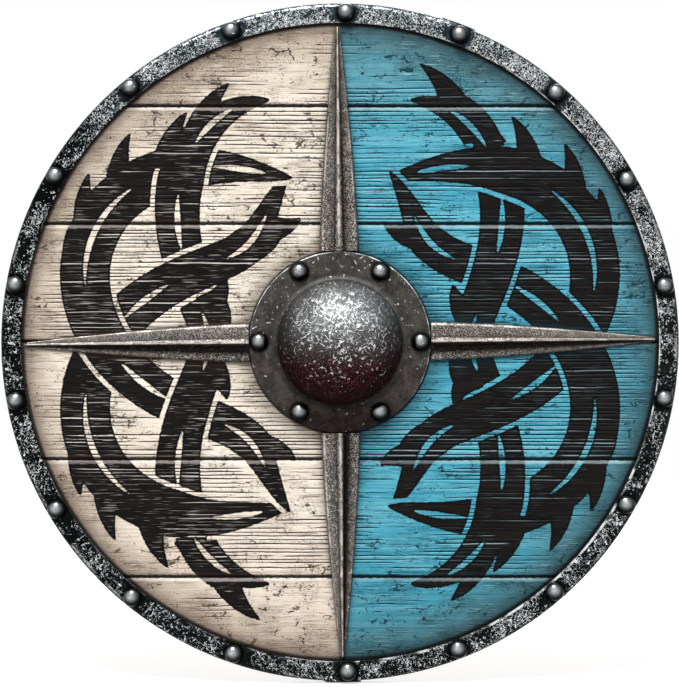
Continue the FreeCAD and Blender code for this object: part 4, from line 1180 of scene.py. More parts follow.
def build_boss(sizes, materials):
    """Boss: a dome, a tight fillet and a flat flange turned round the axis, with the same form inside.

    Short curly scratches crowd high on the dome and thin out down and away from there. Longer ones
    cross the flange. A painted highlight, standing also for polish, lies high on the dome, a painted
    highlight rings the foot of the dome where it meets the flange, brightest on top, and the flange's
    edge is worn and painted brighter on its upper side. Painted shade darkens the gutter round the
    dome, most below, the dome's sides away from the top, and a ring round each rivet, with some dirt.
    """
    centre, neck, arc = -13.5, 60.83, 11.16
    dome, flange, fillet, fillet_y = centre - BOSS_CROWN, BOARD_FRONT - BOSS_SHEET, 4.5, -25.5
    edge_round = 0.8
    front = np.concatenate([
        arc_points(0, centre, dome, 90, arc, 104),
        arc_points(neck, fillet_y, fillet, 180 + arc, 270, 9)[1:],
        line_points((neck + 0.9, flange), (BOSS_RADIUS - edge_round, flange), 22),
        arc_points(BOSS_RADIUS - edge_round, flange + edge_round, edge_round, 90, 0, 4)])
    inside = np.concatenate([
        [[BOSS_RADIUS, BOARD_FRONT]],
        line_points((BOSS_RADIUS - 2, BOARD_FRONT), (neck, BOARD_FRONT), 4),
        arc_points(neck, fillet_y, fillet + BOSS_SHEET, 270, 180 + arc, 5),
        arc_points(0, centre, dome - BOSS_SHEET, arc, 90, 14)[1:]])
    profile = np.concatenate([front, inside])
    profile[0, 0] = profile[-1, 0] = 0
    spokes, rows = 560, len(profile)
    angle = np.linspace(0, 2 * np.pi, spokes, endpoint=False)[None, :]
    run = np.concatenate([[0], np.cumsum(np.hypot(*np.diff(profile, axis=0).T))])[:, None]
    u, v = run * np.cos(angle), run * np.sin(angle)
    outside = (np.arange(rows) < len(front))[:, None]
    dent = 0.7 * soft_noise(u, v, 8.5, 8.5, 41) + 0.3 * soft_noise(u, v, 3.2, 3.2, 42)
    points, faces = turned(profile, spokes, out=-sizes.hammer_depth / MM * (0.5 + 0.5 * dent) * outside)
    rng = np.random.default_rng(77)

    def marks(x, z, length, bend, strength):
        at_x, at_z, weight = scratch_lines(rng, x, z, length, bend, strength)
        radius = np.hypot(at_x, at_z)
        keep = radius < BOSS_RADIUS - 0.4
        row = np.interp(radius[keep], front[:, 0], np.arange(len(front)))
        column = (np.arctan2(at_z[keep], at_x[keep]) / (2 * np.pi) * spokes) % spokes
        return splat((rows, spokes), row, column, weight[keep], True)

    crowd = marks(rng.normal(3, 25, 470), rng.normal(20, 20, 470), (3, 12), (0.02, 0.3), (0.3, 1.0))
    angle_far, far = rng.uniform(0, 2 * np.pi, 330), 84 * np.sqrt(rng.uniform(0, 1, 330))
    sparse = marks(far * np.cos(angle_far), far * np.sin(angle_far), (2, 11), (0, 0.1), (0.2, 0.8))
    x, z = profile[:, :1] * np.cos(angle), profile[:, :1] * np.sin(angle)
    radius = np.hypot(x, z)
    on_dome = 1 - ease(radius, 52, 60)
    scratch = np.maximum(crowd * on_dome, sparse * (0.35 + 0.65 * ease(z, -60, 20)))
    ragged = 0.5 + 0.5 * soft_noise(angle * 81, 0 * run, 6, 1, 43)
    # lit is how far a point faces up to the light: the flange's worn edge and the ring at the dome's foot are
    # painted brighter there, a painted highlight
    lit = 0.5 + 0.5 * np.sin(angle + 0.25)
    edge = np.interp(radius, [79.8, 81.0, 81.6], [0, 1, 0.7]) * (0.4 + 0.6 * ragged) * (0.12 + 0.88 * lit)
    neck_ring = np.interp(run, [74, 78, 80.5, 82.5, 86], [0, 0.08, 0.4, 0.12, 0])
    neck_ring = neck_ring * (0.5 + 0.5 * ragged) * lit ** 1.5
    cloud = 0.75 + 0.25 * soft_noise(x, z, 9, 9, 44)
    # polish: a painted highlight high on the dome, standing also for polish
    polish = 0.33 * np.exp(-((x - 3) / 44) ** 2 - ((z - 28) / 27) ** 2) * cloud * on_dome
    scuff = 0.85 * on_dome * np.exp(-((x - 2) / 40) ** 2 - ((z - 19) / 33) ** 2) + 0.1 * ease(z, -50, 10)
    scuff = np.maximum(scuff, 0.5 * on_dome * np.exp(-((x - 2) / 34) ** 2 - ((z + 18) / 20) ** 2))
    # Painted shade: the gutter round the dome, most below, and the dome's sides away from the top
    under = ease(-z / np.maximum(radius, 1), 0.1, 0.9)
    gutter = np.interp(radius, [54, 57.5, 60, 64], [0, 0.6, 0.55, 0]) * (0.4 + 0.6 * under)
    away = 1 - ease(z / np.maximum(radius, 1), 0.1, 0.8)
    shade = 0.45 * ease(radius, 36, 55) * (1 - ease(radius, 57, 61)) * away
    # A ring round each rivet: painted shade with some dirt
    heads = np.stack([np.hypot(x - at_x, z - at_z) for at_x, at_z in boss_rivet_places()]).min(axis=0)
    foot = 0.85 * (1 - ease(heads, BOSS_HEAD[0] - 0.2, BOSS_HEAD[0] + 2.8))
    grain = (0.06 + 0.1 * ease(z, -30, 0)) * on_dome + 0.05
    fields = {"scratch": scratch * (1 - foot), "edge": edge * (1 - foot), "scuff": scuff * (1 - foot),
              "grain": grain, "sheen": np.maximum(polish, neck_ring),
              "shade_and_soot": np.maximum(foot, np.maximum(gutter, shade))}
    return add_piece("boss_shell", points, faces, materials, ("boss",),
                     turned_values(fields, outside), crease=40)


# Arms
def stud_patch(x, z, start, end, radius=SHANK_RADIUS, pitch=0.8):
    """Stud with rolled threads: a turned surface whose radius falls and rises once a pitch."""
    threads = int((end - start - 1.2) / pitch)
    low = end - 0.6 - threads * pitch
    y = low + pitch * np.arange(2 * threads + 1) / 2
    rings = np.stack([np.where(np.arange(len(y)) % 2 == 0, radius - 0.34, radius), y], axis=1)
    profile = np.concatenate([[[0, start], [radius, start]], rings, [[radius - 0.5, end], [0, end]]])
    return turned(profile, 24, x, z)


def build_arm(number, node, materials):
    """An arm: a tapering plate with bevelled edges, dished flats and a rounded rib along the middle.

    The width falls on its curve, and heights fall evenly. The rib is cut down beside the flange.
    Painted shade darkens the valleys beside the rib and the sides that face away from the light, and
    a painted highlight, with some wear, brightens the rib's crest and the lit edges. Two studs behind
    carry the arm.
    """
    angle = math.radians(CROSS_TURN + 90 * number)
    cut_end = 0.0174
    share = np.concatenate([np.linspace(0, 0.0172, 6), [0.0176, 0.0184], np.linspace(0.0215, 0.985, 320),
                            1 - 0.015 * np.cos(np.linspace(0, np.pi / 2, 9))[1:]])
    rows = len(share)
    half_width = arm_half_width(share)
    tip = np.sqrt(np.clip(1 - np.clip((share - 0.985) / 0.015, 0, 1) ** 2, 0.003, 1))
    bevel, edge_height = 2.7 - 2.2 * share, 3.2 - 1.7 * share
    foot, rib_half, rib_height = 2.5 - 1.2 * share, 4.75 - 3.55 * share, 7.5 - 4.5 * share
    rib_half = np.minimum(rib_half, half_width - bevel - 0.1)
    rib_height = np.where(share < cut_end, np.minimum(edge_height, rib_height), rib_height)
    foot = np.where(share < cut_end, edge_height, foot)
    # Half of the section, from the outer edge to the rib: (across, height, crest, edge)
    section = [(half_width, 0.05, 0.0, 0.35), (half_width, 0.6, 0.0, 0.35)]
    for step in np.linspace(0, 1, 7)[1:]:
        rounded = math.sin(step * math.pi / 2) ** 0.85
        section.append((half_width - bevel * step, 0.6 + (edge_height - 0.6) * rounded, 0.0,
                        0.25 + 0.75 * step ** 2))
    for step in np.linspace(0, 1, 14)[1:]:
        dish = 0.35 * math.sin(step * math.pi) * (1 - 0.6 * share)
        section.append(((half_width - bevel) * (1 - step) + rib_half * step,
                        edge_height * (1 - step) + foot * step - dish, 0.0, 0.7 * max(0.0, 1 - step * 5)))
    for step in np.linspace(0, 1, 13)[1:]:
        turn = step * math.pi / 2
        section.append((rib_half * math.cos(turn), foot + (rib_height - foot) * math.sin(turn) ** 0.8,
                        max(0.0, step - 0.64) / 0.36, 0.0))
    across, height, crest, edge = (
        np.array([np.broadcast_to(part, rows) for part in column]) for column in zip(*section))
    place = np.arange(len(across))
    # Painted shade across the section: in the valleys beside the rib, and on the rib's flank and the inner
    # flat where they face away from the light
    shade_and_soot, flank, inner = (np.interp(place, places, levels)[:, None] + 0 * across for places, levels in (
        ([8, 12, 20, 21, 25, 30], [0.0, 0.2, 0.8, 0.95, 0.6, 0.0]), ([19, 21, 26, 33], [0.0, 1.0, 0.9, 0.0]),
        ([9, 14, 20], [0.38, 0.55, 0.8])))
    v = np.concatenate([across, -across[-2::-1]]) * tip
    h = np.concatenate([height, height[-2::-1]])
    crest, edge, shade_and_soot, flank, inner = (np.concatenate([part, part[-2::-1]])
                                       for part in (crest, edge, shade_and_soot, flank, inner))
    h = np.where(h > 0.06, 0.05 + (h - 0.05) * (0.45 + 0.55 * tip), h)
    along = (ARM_ROOT + share * ARM_LENGTH)[None, :]
    rough = 1 - ease(share, 0.2, 0.75)[None, :]
    pits = 0.16 * soft_noise(along, v, 2.1, 1.8, 600 + number)
    pits = pits + 0.12 * soft_noise(along, v, 5.5, 4.5, 610 + number)
    h = h + np.where(h > 0.7, pits * (0.35 + 0.65 * rough) - 0.1, 0)
    y = BOARD_FRONT - h
    cos, sin = math.cos(angle), math.sin(angle)
    points = np.stack([along * cos - v * sin, y, along * sin + v * cos], axis=-1)
    ids = number_grid(*v.shape)
    faces = [grid_quads(ids, wrap_rows=True)]
    for column in (0, -1):
        ring = ids[:, column]
        last, half = len(ring) - 1, len(ring) // 2
        step = np.arange(half - 1)
        faces.append(np.stack([ring[step], ring[step + 1], ring[last - 1 - step], ring[last - step]], axis=1))
        faces.append(np.array([[ring[half - 1], ring[half], ring[half + 1]]]))
    rng = np.random.default_rng(620 + number)
    count = 420
    start_u, start_v = ARM_LENGTH * rng.uniform(0, 1, count), rng.uniform(-17, 17, count)
    at_u, at_v, weight = scratch_lines(rng, start_u, start_v, (0.8, 8), (0, 0.1), (0.3, 0.9))
    share_at = np.clip(at_u / ARM_LENGTH, 0, 1)
    width_at = arm_half_width(share_at)
    keep = (np.abs(at_v) < width_at) & (at_u > 0) & (at_u < ARM_LENGTH - 1)
    column = np.interp(share_at[keep], share, np.arange(rows))
    across_share = -v[:, rows // 2] / half_width[rows // 2]
    row = np.interp(-at_v[keep] / width_at[keep], across_share, np.arange(len(across_share)))
    scratch = splat(v.shape, row, column, weight[keep], False)
    worn = 0.5 + 0.5 * soft_noise(along, v, 11, 6, 630 + number)
    # lit is how far a side faces the light: edges and crest are painted brighter on lit sides, a painted
    # highlight, and shaded sides darker, painted shade
    tilt = 0.32 * math.sin(angle) - 0.18 * math.sin(angle) ** 2 + 0.9 * math.cos(angle)
    lit = np.sign(v) * tilt * ease(np.abs(v), 0, 1.2)
    edge = edge * (0.45 + 0.55 * ease(worn, 0.3, 0.8)) * np.clip(0.62 + 0.55 * lit, 0, 1)
    broken = 0.45 + 0.55 * ease(soft_noise(along, v, 4.5, 1.6, 640 + number), -0.35, 0.3)
    crest = crest * (0.6 + 0.4 * ease(worn, 0.2, 0.7)) * broken * np.clip(0.9 + 0.5 * lit, 0, 1)
    shaded = np.clip(-lit, 0, 1)
    shade_and_soot = shade_and_soot * np.clip(0.8 - 0.4 * lit, 0, 1) + 0.9 * flank * shaded + inner * shaded * (h > 1)
    grain = (0.4 + 0.6 * rough) * (h > 0.7) * (1 - 0.8 * crest)
    sheen = np.clip(0.12 * lit, 0, 1) * (h > 1) + 0.85 * crest
    fields = {"scratch": scratch * 0.7, "edge": np.maximum(edge, crest), "grain": grain,
              "scuff": 0.25 + 0 * v, "sheen": sheen, "shade_and_soot": np.clip(shade_and_soot, 0, 0.95)}
    stud_end = (BAR_BACK if number % 2 else BOARD_BACK) + STUD_REACH
    studs = [stud_patch(place * cos, place * sin, BOARD_FRONT - 0.5, stud_end) for place in STUD_RADII]
    points, faces = joined([(points, faces)] + studs)
    values = {key: np.broadcast_to(field, v.shape).ravel() for key, field in fields.items()}
    return add_piece(f"{node}_blade", points, faces, materials, (node,), values, crease=32)


# Grip bar, wrap, battens
def rounded_ring(half_x, low_y, high_y, corner, corner_points=7, side_points=6):
    """Points (x, y) round rectangles with rounded corners, one rectangle for each row of the sizes."""
    half_x, low_y, high_y, corner = (
        np.asarray(part, float)[:, None] for part in np.broadcast_arrays(half_x, low_y, high_y, corner))
    middle, half_y = (low_y + high_y) / 2, (high_y - low_y) / 2
    arcs = []
    for side, (sx, sy) in enumerate(((1, 1), (-1, 1), (-1, -1), (1, -1))):
        turn = np.radians(np.linspace(90 * side, 90 * side + 90, corner_points))[None, :]
        arcs.append(np.stack([sx * (half_x - corner) + corner * np.cos(turn),
                              middle + sy * (half_y - corner) + corner * np.sin(turn)]))
    share = np.linspace(0, 1, side_points + 2)[1:-1]
    ring = []
    for arc, following in zip(arcs, arcs[1:] + arcs[:1]):
        ring += [arc, arc[..., -1:] * (1 - share) + following[..., :1] * share]
    return np.concatenate(ring, axis=-1)


def lofted(x, y, z):
    """Closed surface through rings of points, row after row, with a fan over each end."""
    x, y, z = np.broadcast_arrays(x, y, z)
    points = np.stack([x, y, z], axis=-1)
    rows, count = x.shape
    ends = points[[0, -1]].mean(axis=1)
    ids = number_grid(rows, count)
    faces = [grid_quads(ids, wrap_columns=True)]
    for row, centre in ((0, rows * count), (-1, rows * count + 1)):
        faces.append(np.stack([np.roll(ids[row], -1), ids[row], np.full(count, centre)], axis=1))
    return np.concatenate([points.reshape(-1, 3), ends]), faces


def build_grip_bar(materials):
    """Grip bar: a rounded handle that swells into a flat tapering bar, its back sloped off at the tips."""
    half_length, root, slope_length = 285.7, 52.84, 30
    z = np.concatenate([np.linspace(-half_length, -53.2, 150), np.linspace(-52.6, -43.2, 14),
                        np.linspace(-42.2, 42.2, 50), np.linspace(43.2, 52.6, 14),
                        np.linspace(53.2, half_length, 150)])
    far = np.abs(z)
    swell = ease(far, 43.5, 53.0)
    half_x = np.where(far < root, 14 + 1.5 * swell, 15.5 - 2.5 * (far - root) / (half_length - root))
    front = -12 + 5 * swell
    slope = np.clip((far - half_length + slope_length) / slope_length, 0, 1)
    back = 12 - (12 - BAR_BACK) * swell - 8.0 * slope
    corner = 10 - 8 * swell
    x, y = rounded_ring(half_x, front, back, corner)
    x = x + 0.12 * soft_noise(y * 3, z[:, None], 9, 60, 700)
    y = y + 0.1 * soft_noise(x, z[:, None], 7, 80, 701) * (y > 0)
    points, faces = lofted(x, y, z[:, None])
    return add_piece("grip_bar_wood", points, faces, materials, ("grip_bar",), crease=45)


def build_grip_strip(sizes, materials):
    """Leather strip wound round the handle: each turn rises over the edge of the one before it.

    The strip's thickness above the wood is a saw-tooth of the height less the share of a turn, with
    a rounded free edge.
    """
    reach = 42.75
    z = np.linspace(-reach, reach, 250)
    x, y = rounded_ring(np.full(len(z), 14.0), -12.0, 12.0, 10.0, 12, 9)
    turn = np.unwrap(np.arctan2(y[0], x[0])) / (2 * np.pi)
    pitch, thickness = sizes.wrap_pitch / MM, sizes.wrap_thickness / MM
    place = z[:, None] / pitch - turn[None, :]
    wobble = 0.03 * soft_noise(turn[None, :] * 40, z[:, None] * 0, 6, 1, 710)
    share = (place + wobble) % 1.0
    lap = ease(share, 0.0, 0.07) * (1 - 0.42 * ease(share, 0.35, 1.0))
    uneven = 1 + 0.03 * soft_noise(turn[None, :] * 88, z[:, None], 5, 5, 711)
    rise = thickness * (0.34 + 0.66 * lap) * uneven
    rise *= ease(reach - np.abs(z), -0.4, 1.4)[:, None]
    across_x, across_y = np.gradient(x, axis=1), np.gradient(y, axis=1)
    size = np.hypot(across_x, across_y)
    x, y = x + across_y / size * (rise - 0.05), y - across_x / size * (rise - 0.05)
    points, faces = lofted(x, y, z[:, None])
    values = {"lap": np.concatenate([(share * lap).ravel(), [0, 0]])}
    return add_piece("grip_strip", points, faces, materials, ("grip_wrap",), values,
                     crease=60)


def build_batten(node, side, seed, materials):
    """Batten behind the planks: a planed strip with eased edges and sloped ends, a little cupped."""
    z = np.linspace(-BATTEN_HALF, BATTEN_HALF, 230)
    near_end = np.clip((np.abs(z) - BATTEN_HALF + 5) / 5, 0, 1)
    back = BOARD_BACK + BATTEN_DEPTH - 4 * near_end
    half_x = 15 - 0.5 * near_end + 0.1 * soft_noise(z, 0 * z, 90, 1, seed)
    x, y = rounded_ring(half_x, BOARD_BACK, back, 1.0, 5, 7)
    y = y - 0.12 * (1 + soft_noise(x * 2, z[:, None], 9, 120, seed + 1)) * (y > BOARD_BACK + 3)
    points, faces = lofted(side * BATTEN_OFFSET + x, y, z[:, None])
    return add_piece(f"{node}_strip", points, faces, materials, (node,), crease=45)


# Washers, nuts, nails
def ring_patch(x, z, radius, y, spokes=64, facets=False):
    """Closed ring round an axis along Y: a section's (radius, y) loop, faceted to a hexagon if asked.

    On a hexagon no point lies beyond the flats, so that a round chamfer cuts the corners only.
    """
    angle = np.linspace(0, 2 * np.pi, spokes, endpoint=False)[None, :]
    radius, y = np.asarray(radius, float)[:, None], np.asarray(y, float)[:, None]
    if facets:
        radius = np.minimum(radius, 4.5 / np.cos(angle % (np.pi / 3) - np.pi / 6))
    radius, y = np.broadcast_arrays(radius + 0 * angle, y + 0 * angle)
    points = np.stack([x + radius * np.cos(angle), y, z + radius * np.sin(angle)], axis=-1)
    return points, [grid_quads(number_grid(*radius.shape), wrap_rows=True, wrap_columns=True)]


def arm_stud_places():
    """Middles of the arms' studs: place (x, z) and the height of the face that their washers lie on."""
    for number in range(4):
        angle = math.radians(CROSS_TURN + 90 * number)
        seat = BAR_BACK if number % 2 else BOARD_BACK
        for place in STUD_RADII:
            yield place * math.cos(angle), place * math.sin(angle), seat


def build_fasteners(steel, nail_steel):
    """Washers with eased edges, nuts with chamfered corners, and nails with hammered heads."""
    washer = ([2.65, 2.9, 7.4, 7.85, 8.0, 8.0, 7.8, 2.9], [0.2, 0.0, 0.0, 0.12, 0.35, 1.2, 1.5, 1.5])
    small_washer = ([2.6, 2.8, 6.5, 6.9, 7.0, 7.0, 6.8, 2.8], [0.15, 0.0, 0.0, 0.1, 0.3, 0.95, 1.2, 1.2])
    nut = ([2.45, 2.75, 4.4, 4.75, 5.3, 5.3, 4.75, 4.4, 2.75, 2.45],
           [0.35, 0.0, 0.0, 0.16, 0.5, 4.0, 4.34, 4.5, 4.5, 4.15])
    washers = [ring_patch(x, z, washer[0], seat + np.array(washer[1])) for x, z, seat in arm_stud_places()]
    nuts = [ring_patch(x, z, nut[0], seat + ARM_WASHER + np.array(nut[1]), 72, True)
            for x, z, seat in arm_stud_places()]
    small = [ring_patch(x, z, small_washer[0], BOARD_BACK + np.array(small_washer[1]))
             for x, z in boss_rivet_places()]
    for name, node, patches in (("arm_washer_rings", "arm_washers", washers),
                                ("arm_nut_hexes", "arm_nuts", nuts),
                                ("boss_washer_rings", "boss_rivet_washers", small)):
        points, faces = joined(patches)
        add_piece(name, points, faces, (steel,), (node,),
                  {"grain": np.full(len(points), 0.12)}, crease=25)
    # Two nails on each side of a seam, and the outermost ones halfway to the batten's ends
    heights = [seam + step for seam in SEAMS for step in (20, -20)]
    heights[0] = (SEAMS[0] + BATTEN_HALF) / 2
    heights[-1] = -heights[0]
    batten_nails = [(side * BATTEN_OFFSET + (6 if index % 2 else -6), height, BOARD_BACK + BATTEN_DEPTH)
                    for side in (-1, 1) for index, height in enumerate(heights)]
    bar_nails = [(0, sign * height, BAR_BACK) for sign in (-1, 1) for height in (62.03, 137.92, 233.6)]
    for name, node, places in (("batten_nail_heads", "batten_nails", batten_nails),
                               ("grip_nail_heads", "grip_nails", bar_nails)):
        patches = []
        for number, (x, z, face) in enumerate(places):
            turn = np.linspace(0, np.pi / 2, 8)
            head = np.stack([3.0 * np.sin(turn), face + 0.32 * np.cos(turn) - 0.02], axis=1)
            stem = [[3.0, face - 0.6], [1.3, face - 1.2], [1.25, face - 8], [0, face - 10]]
            profile = np.concatenate([head, stem])
            spokes = np.linspace(0, 2 * np.pi, 28, endpoint=False)[None, :]
            u, v = profile[:, :1] * np.cos(spokes), profile[:, :1] * np.sin(spokes)
            dent = 0.05 * soft_noise(u, v, 1.6, 1.6, number)
            patches.append(turned(profile, 28, x, z, out=-np.abs(dent)))
        points, faces = joined(patches)
        add_piece(name, points, faces, (nail_steel,), (node,),
                  {"grain": np.full(len(points), 0.3)}, crease=40)


# Stage
def seen_directly(tree):
    """1 for camera, glossy and transmission rays, and 0 for the rays that light the object."""
    rays = [add_node(tree, "LightPath", {}, out)
            for out in ("Is Camera Ray", "Is Glossy Ray", "Is Transmission Ray")]
    seen = add_node(tree, "Math", {0: rays[0], 1: rays[1]}, operation="MAXIMUM")
    return add_node(tree, "Math", {0: seen, 1: rays[2]}, operation="MAXIMUM")


def build_stage(stage):
    """Pale floor under the rim, soft lights above the front and the back, white surroundings, camera."""
    scene = bpy.context.scene
    floor_height, side = CAD_BOX[0][2] - 0.0002, 3.0
    mesh = bpy.data.meshes.new("studio_floor")
    mesh.from_pydata([(x * side, y * side, floor_height) for x, y in ((-1, -1), (1, -1), (1, 1), (-1, 1))],
                     [], [(0, 1, 2, 3)])
    floor = bpy.data.objects.new("studio_floor", mesh)
    scene.collection.objects.link(floor)
    material, tree = new_material("white_paper_floor")
    diffuse = add_node(tree, "BsdfDiffuse", {"Color": (0.52, 0.52, 0.52, 1)})
    place = add_node(tree, "TexCoord", {}, "Object")
    away = add_node(tree, "VectorMath", {0: place, 1: (1, 1, 0)}, operation="MULTIPLY")
    away = add_node(tree, "VectorMath", {0: away}, "Value", operation="LENGTH")
    glow = add_node(tree, "MapRange", {0: away, 1: 0.5, 2: 2.2, 3: 0.62, 4: 1.0})
    strength = add_node(tree, "Math", {0: seen_directly(tree), 1: glow}, operation="MULTIPLY")
    glow = add_node(tree, "Emission", {"Color": (1, 1, 1, 1), "Strength": strength})
    both = add_node(tree, "AddShader", {0: diffuse, 1: glow})
    output = tree.nodes.new("ShaderNodeOutputMaterial")
    tree.links.new(both, output.inputs["Surface"])
    mesh.materials.append(material)

    for name, place, size, power in (("key_light", (-0.6, -2.2, 3.6), 1.3, stage.key_power),
                                     ("back_light", (0.0, 1.8, 1.6), 1.6, stage.fill_power)):
        light = bpy.data.lights.new(name, "AREA")
        light.shape, light.size, light.energy = "DISK", size, power
        lamp = bpy.data.objects.new(name, light)
        lamp.location = place
        toward = -np.array(place)
        lamp.rotation_euler = (math.atan2(math.hypot(toward[0], toward[1]), -toward[2]), 0.0,
                               math.atan2(toward[1], toward[0]) - math.pi / 2)
        scene.collection.objects.link(lamp)

    world = bpy.data.worlds.new("studio")
    world.use_nodes = True
    tree = world.node_tree
    tree.nodes.clear()
    direction = add_node(tree, "TexCoord", {}, "Generated")
    height = add_node(tree, "SeparateXYZ", {0: direction}, "Z")
    sky = add_node(tree, "MapRange", {
        0: height, 1: -0.5, 2: 1.0, 3: 0.4 * stage.sky_strength, 4: 1.6 * stage.sky_strength})
    seen = seen_directly(tree)
    strength = add_node(tree, "Mix", {0: seen, 2: sky, 3: 1.0}, 0, data_type="FLOAT")
    background = add_node(tree, "Background", {"Color": (1, 1, 1, 1), "Strength": strength})
    output = tree.nodes.new("ShaderNodeOutputWorld")
    tree.links.new(background, output.inputs["Surface"])
    scene.world = world

    data = bpy.data.cameras.new("camera")
    data.lens, data.sensor_width, data.sensor_fit = stage.lens, 36.0, "AUTO"
    data.clip_start, data.clip_end = 0.01, 50.0
    camera = bpy.data.objects.new("camera", data)
    # The photo's framing: 2.077 m away with a 120 mm lens, and as much nearer with a shorter one
    camera.location = (-0.00045, -2.077 * stage.lens / 120, -0.00135)
    camera.rotation_euler = (math.pi / 2, 0.0, 0.0)
    scene.collection.objects.link(camera)
    scene.camera = camera
    scene.view_settings.view_transform = "Standard"


# Operators
class PieceOperator:
    """What all the operators share: undo, and the settings kept on the scene."""
    bl_options = {"REGISTER", "UNDO"}

    def settings(self, context):
        """Sizes and colours."""
        return context.scene.shield_sizes, context.scene.shield_colours


class SHIELD_OT_planks(PieceOperator, bpy.types.Operator):
    """Six grooved planks with worn paint and a plaited design"""
    bl_idname = "shield.add_planks"
    bl_label = "Add Planks"

    def execute(self, context):
        sizes, colours = self.settings(context)
        field = braid_work(sizes.strand_width / MM, sizes.strand_gap / MM)
        planed = planed_wood("planed_pine", colours.bare_wood, 0, planks=SEAMS[0] - SEAMS[1])
        materials = (painted_pine(colours), planed)
        for number in range(1, 7):
            build_plank(number, sizes, field, materials)
        return {"FINISHED"}


class SHIELD_OT_rim(PieceOperator, bpy.types.Operator):
    """Two rim bands that lap at two rivets, scratched and worn"""
    bl_idname = "shield.add_rim"
    bl_label = "Add Rim"

    def execute(self, context):
        sizes, colours = self.settings(context)
        tints = (("Z", 150, 300, 0.75, "#303d45"), ("X", -120, -300, 0.6, "#0b0f0b"),
                 ("X", 150, 300, 0.2, "#2b2a27"), ("Z", -150, -300, 0.2, "#24231f"))
        steel = worn_steel("blackened_rim_steel", colours.rim_steel, colours.bright_steel, 0.42, 1.0, tints,
                           cover=0.59, curl=4.0, crisp=0.16)
        low, high = LAP_ANGLES
        build_rim("rim_left", "rim_band_left", low - LAP_COVER, high + LAP_COVER, True, 200, sizes, (steel,))
        build_rim("rim_right", "rim_band_right", high - 360 - LAP_TAIL, low + LAP_TAIL, False, 220, sizes,
                  (steel,))
        return {"FINISHED"}


class SHIELD_OT_rivets(PieceOperator, bpy.types.Operator):
    """Domed rivets round the rim and round the boss"""
    bl_idname = "shield.add_rivets"
    bl_label = "Add Rivets"

    def execute(self, context):
        sizes, colours = self.settings(context)
        steel = worn_steel("polished_gunmetal", colours.rivet_steel, colours.bright_steel, 0.26, 0.9,
                           uneven=0.3)
        build_rim_rivets((steel,))
        build_boss_rivets((steel,))
        return {"FINISHED"}


class SHIELD_OT_boss(PieceOperator, bpy.types.Operator):
    """Domed boss with its flange, scratched bright on top"""
    bl_idname = "shield.add_boss"
    bl_label = "Add Boss"

    def execute(self, context):
        sizes, colours = self.settings(context)
        # Lighter high on the dome, a painted highlight; darker and red low on the dome and darker at the
        # flange's foot, painted shade and a painted reddish reflection, standing also for rust; the flange
        # keeps its own grey between
        tints = (("Z", 0, 60, 0.5, "#4c4a47"), ("Z", 14, -26, 0.95, "#2c0009"),
                 ("Y", -26, -22, 0.85, "#474440"), ("Z", -44, -74, 0.8, "#211817"))
        steel = worn_steel("blackened_spun_steel", colours.boss_steel, colours.bright_steel, 0.7, 1.0, tints,
                           cover=0.6, curl=5.5)
        build_boss(sizes, (steel,))
        return {"FINISHED"}


class SHIELD_OT_arms(PieceOperator, bpy.types.Operator):
    """Four tapering arms in a cross, with their studs"""
    bl_idname = "shield.add_arms"
    bl_label = "Add Arms"

    def execute(self, context):
        colours = self.settings(context)[1]
        iron = worn_steel("pressed_grainy_iron", colours.arm_iron, colours.bright_iron, 0.5, 0.85, cover=0.58)
        for number, node in enumerate(ARMS):
            build_arm(number, node, (iron,))
        return {"FINISHED"}


class SHIELD_OT_grip(PieceOperator, bpy.types.Operator):
    """Grip bar with its wound leather, and two battens"""
    bl_idname = "shield.add_grip"
    bl_label = "Add Grip and Battens"

    def execute(self, context):
        sizes, colours = self.settings(context)
        ash = planed_wood("oiled_ash", colours.oiled_ash, 2, 0.8)
        build_grip_bar((ash,))
        build_grip_strip(sizes, (worn_leather(colours.leather),))
        build_batten("batten_left", -1, 720, (ash,))
        build_batten("batten_right", 1, 730, (ash,))
        return {"FINISHED"}


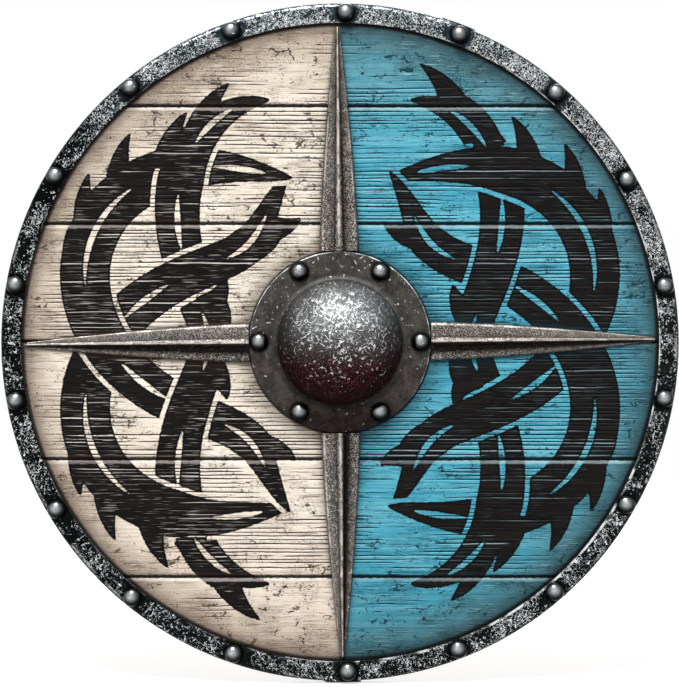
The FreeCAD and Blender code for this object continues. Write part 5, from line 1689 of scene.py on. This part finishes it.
class SHIELD_OT_fasteners(PieceOperator, bpy.types.Operator):
    """Washers, nuts and nails behind the shield"""
    bl_idname = "shield.add_fasteners"
    bl_label = "Add Washers, Nuts and Nails"

    def execute(self, context):
        colours = self.settings(context)[1]
        plain = worn_steel("zinc_dulled_steel", colours.plain_steel, colours.bright_steel, 0.38, 0.9)
        forged = worn_steel("forged_nail_iron", colours.rivet_steel, colours.bright_steel, 0.5, 0.8)
        build_fasteners(plain, forged)
        return {"FINISHED"}


class SHIELD_OT_stage(PieceOperator, bpy.types.Operator):
    """Pale floor, soft lights, white surroundings and the camera"""
    bl_idname = "shield.add_stage"
    bl_label = "Add Stage"

    def execute(self, context):
        build_stage(context.scene.shield_stage)
        return {"FINISHED"}


class SHIELD_PT_panel(bpy.types.Panel):
    """The shield's operators and settings"""
    bl_idname = "SHIELD_PT_panel"
    bl_label = "Round Wooden Shield"
    bl_space_type = "VIEW_3D"
    bl_region_type = "UI"
    bl_category = "Shield"

    def draw(self, context):
        """List the operators, and then each group's settings in a box."""
        for operator in OPERATORS:
            self.layout.operator(operator.bl_idname)
        for settings in (getattr(context.scene, key) for key, _ in GROUPS):
            box = self.layout.box()
            for key in settings.bl_rna.properties.keys():
                if key not in ("rna_type", "name"):
                    box.prop(settings, key)


GROUPS = (("shield_sizes", ShieldSizes), ("shield_colours", ShieldColours), ("shield_stage", StageSettings))
OPERATORS = (SHIELD_OT_planks, SHIELD_OT_rim, SHIELD_OT_rivets, SHIELD_OT_boss, SHIELD_OT_arms,
             SHIELD_OT_grip, SHIELD_OT_fasteners, SHIELD_OT_stage)


def register():
    """Register the settings, with a place for each on the scene, the operators and the panel."""
    for key, group in GROUPS:
        bpy.utils.register_class(group)
        setattr(bpy.types.Scene, key, bpy.props.PointerProperty(type=group))
    for item in (*OPERATORS, SHIELD_PT_panel):
        bpy.utils.register_class(item)


def unregister():
    """Undo what register did, in reverse order."""
    for item in reversed((*OPERATORS, SHIELD_PT_panel)):
        bpy.utils.unregister_class(item)
    for key, group in reversed(GROUPS):
        delattr(bpy.types.Scene, key)
        bpy.utils.unregister_class(group)


def build_scene():
    """Register the add-on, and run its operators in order."""
    register()
    for operator in OPERATORS:
        group, name = operator.bl_idname.split(".")
        getattr(getattr(bpy.ops, group), name)()


if __name__ == "__main__":
    build_scene()
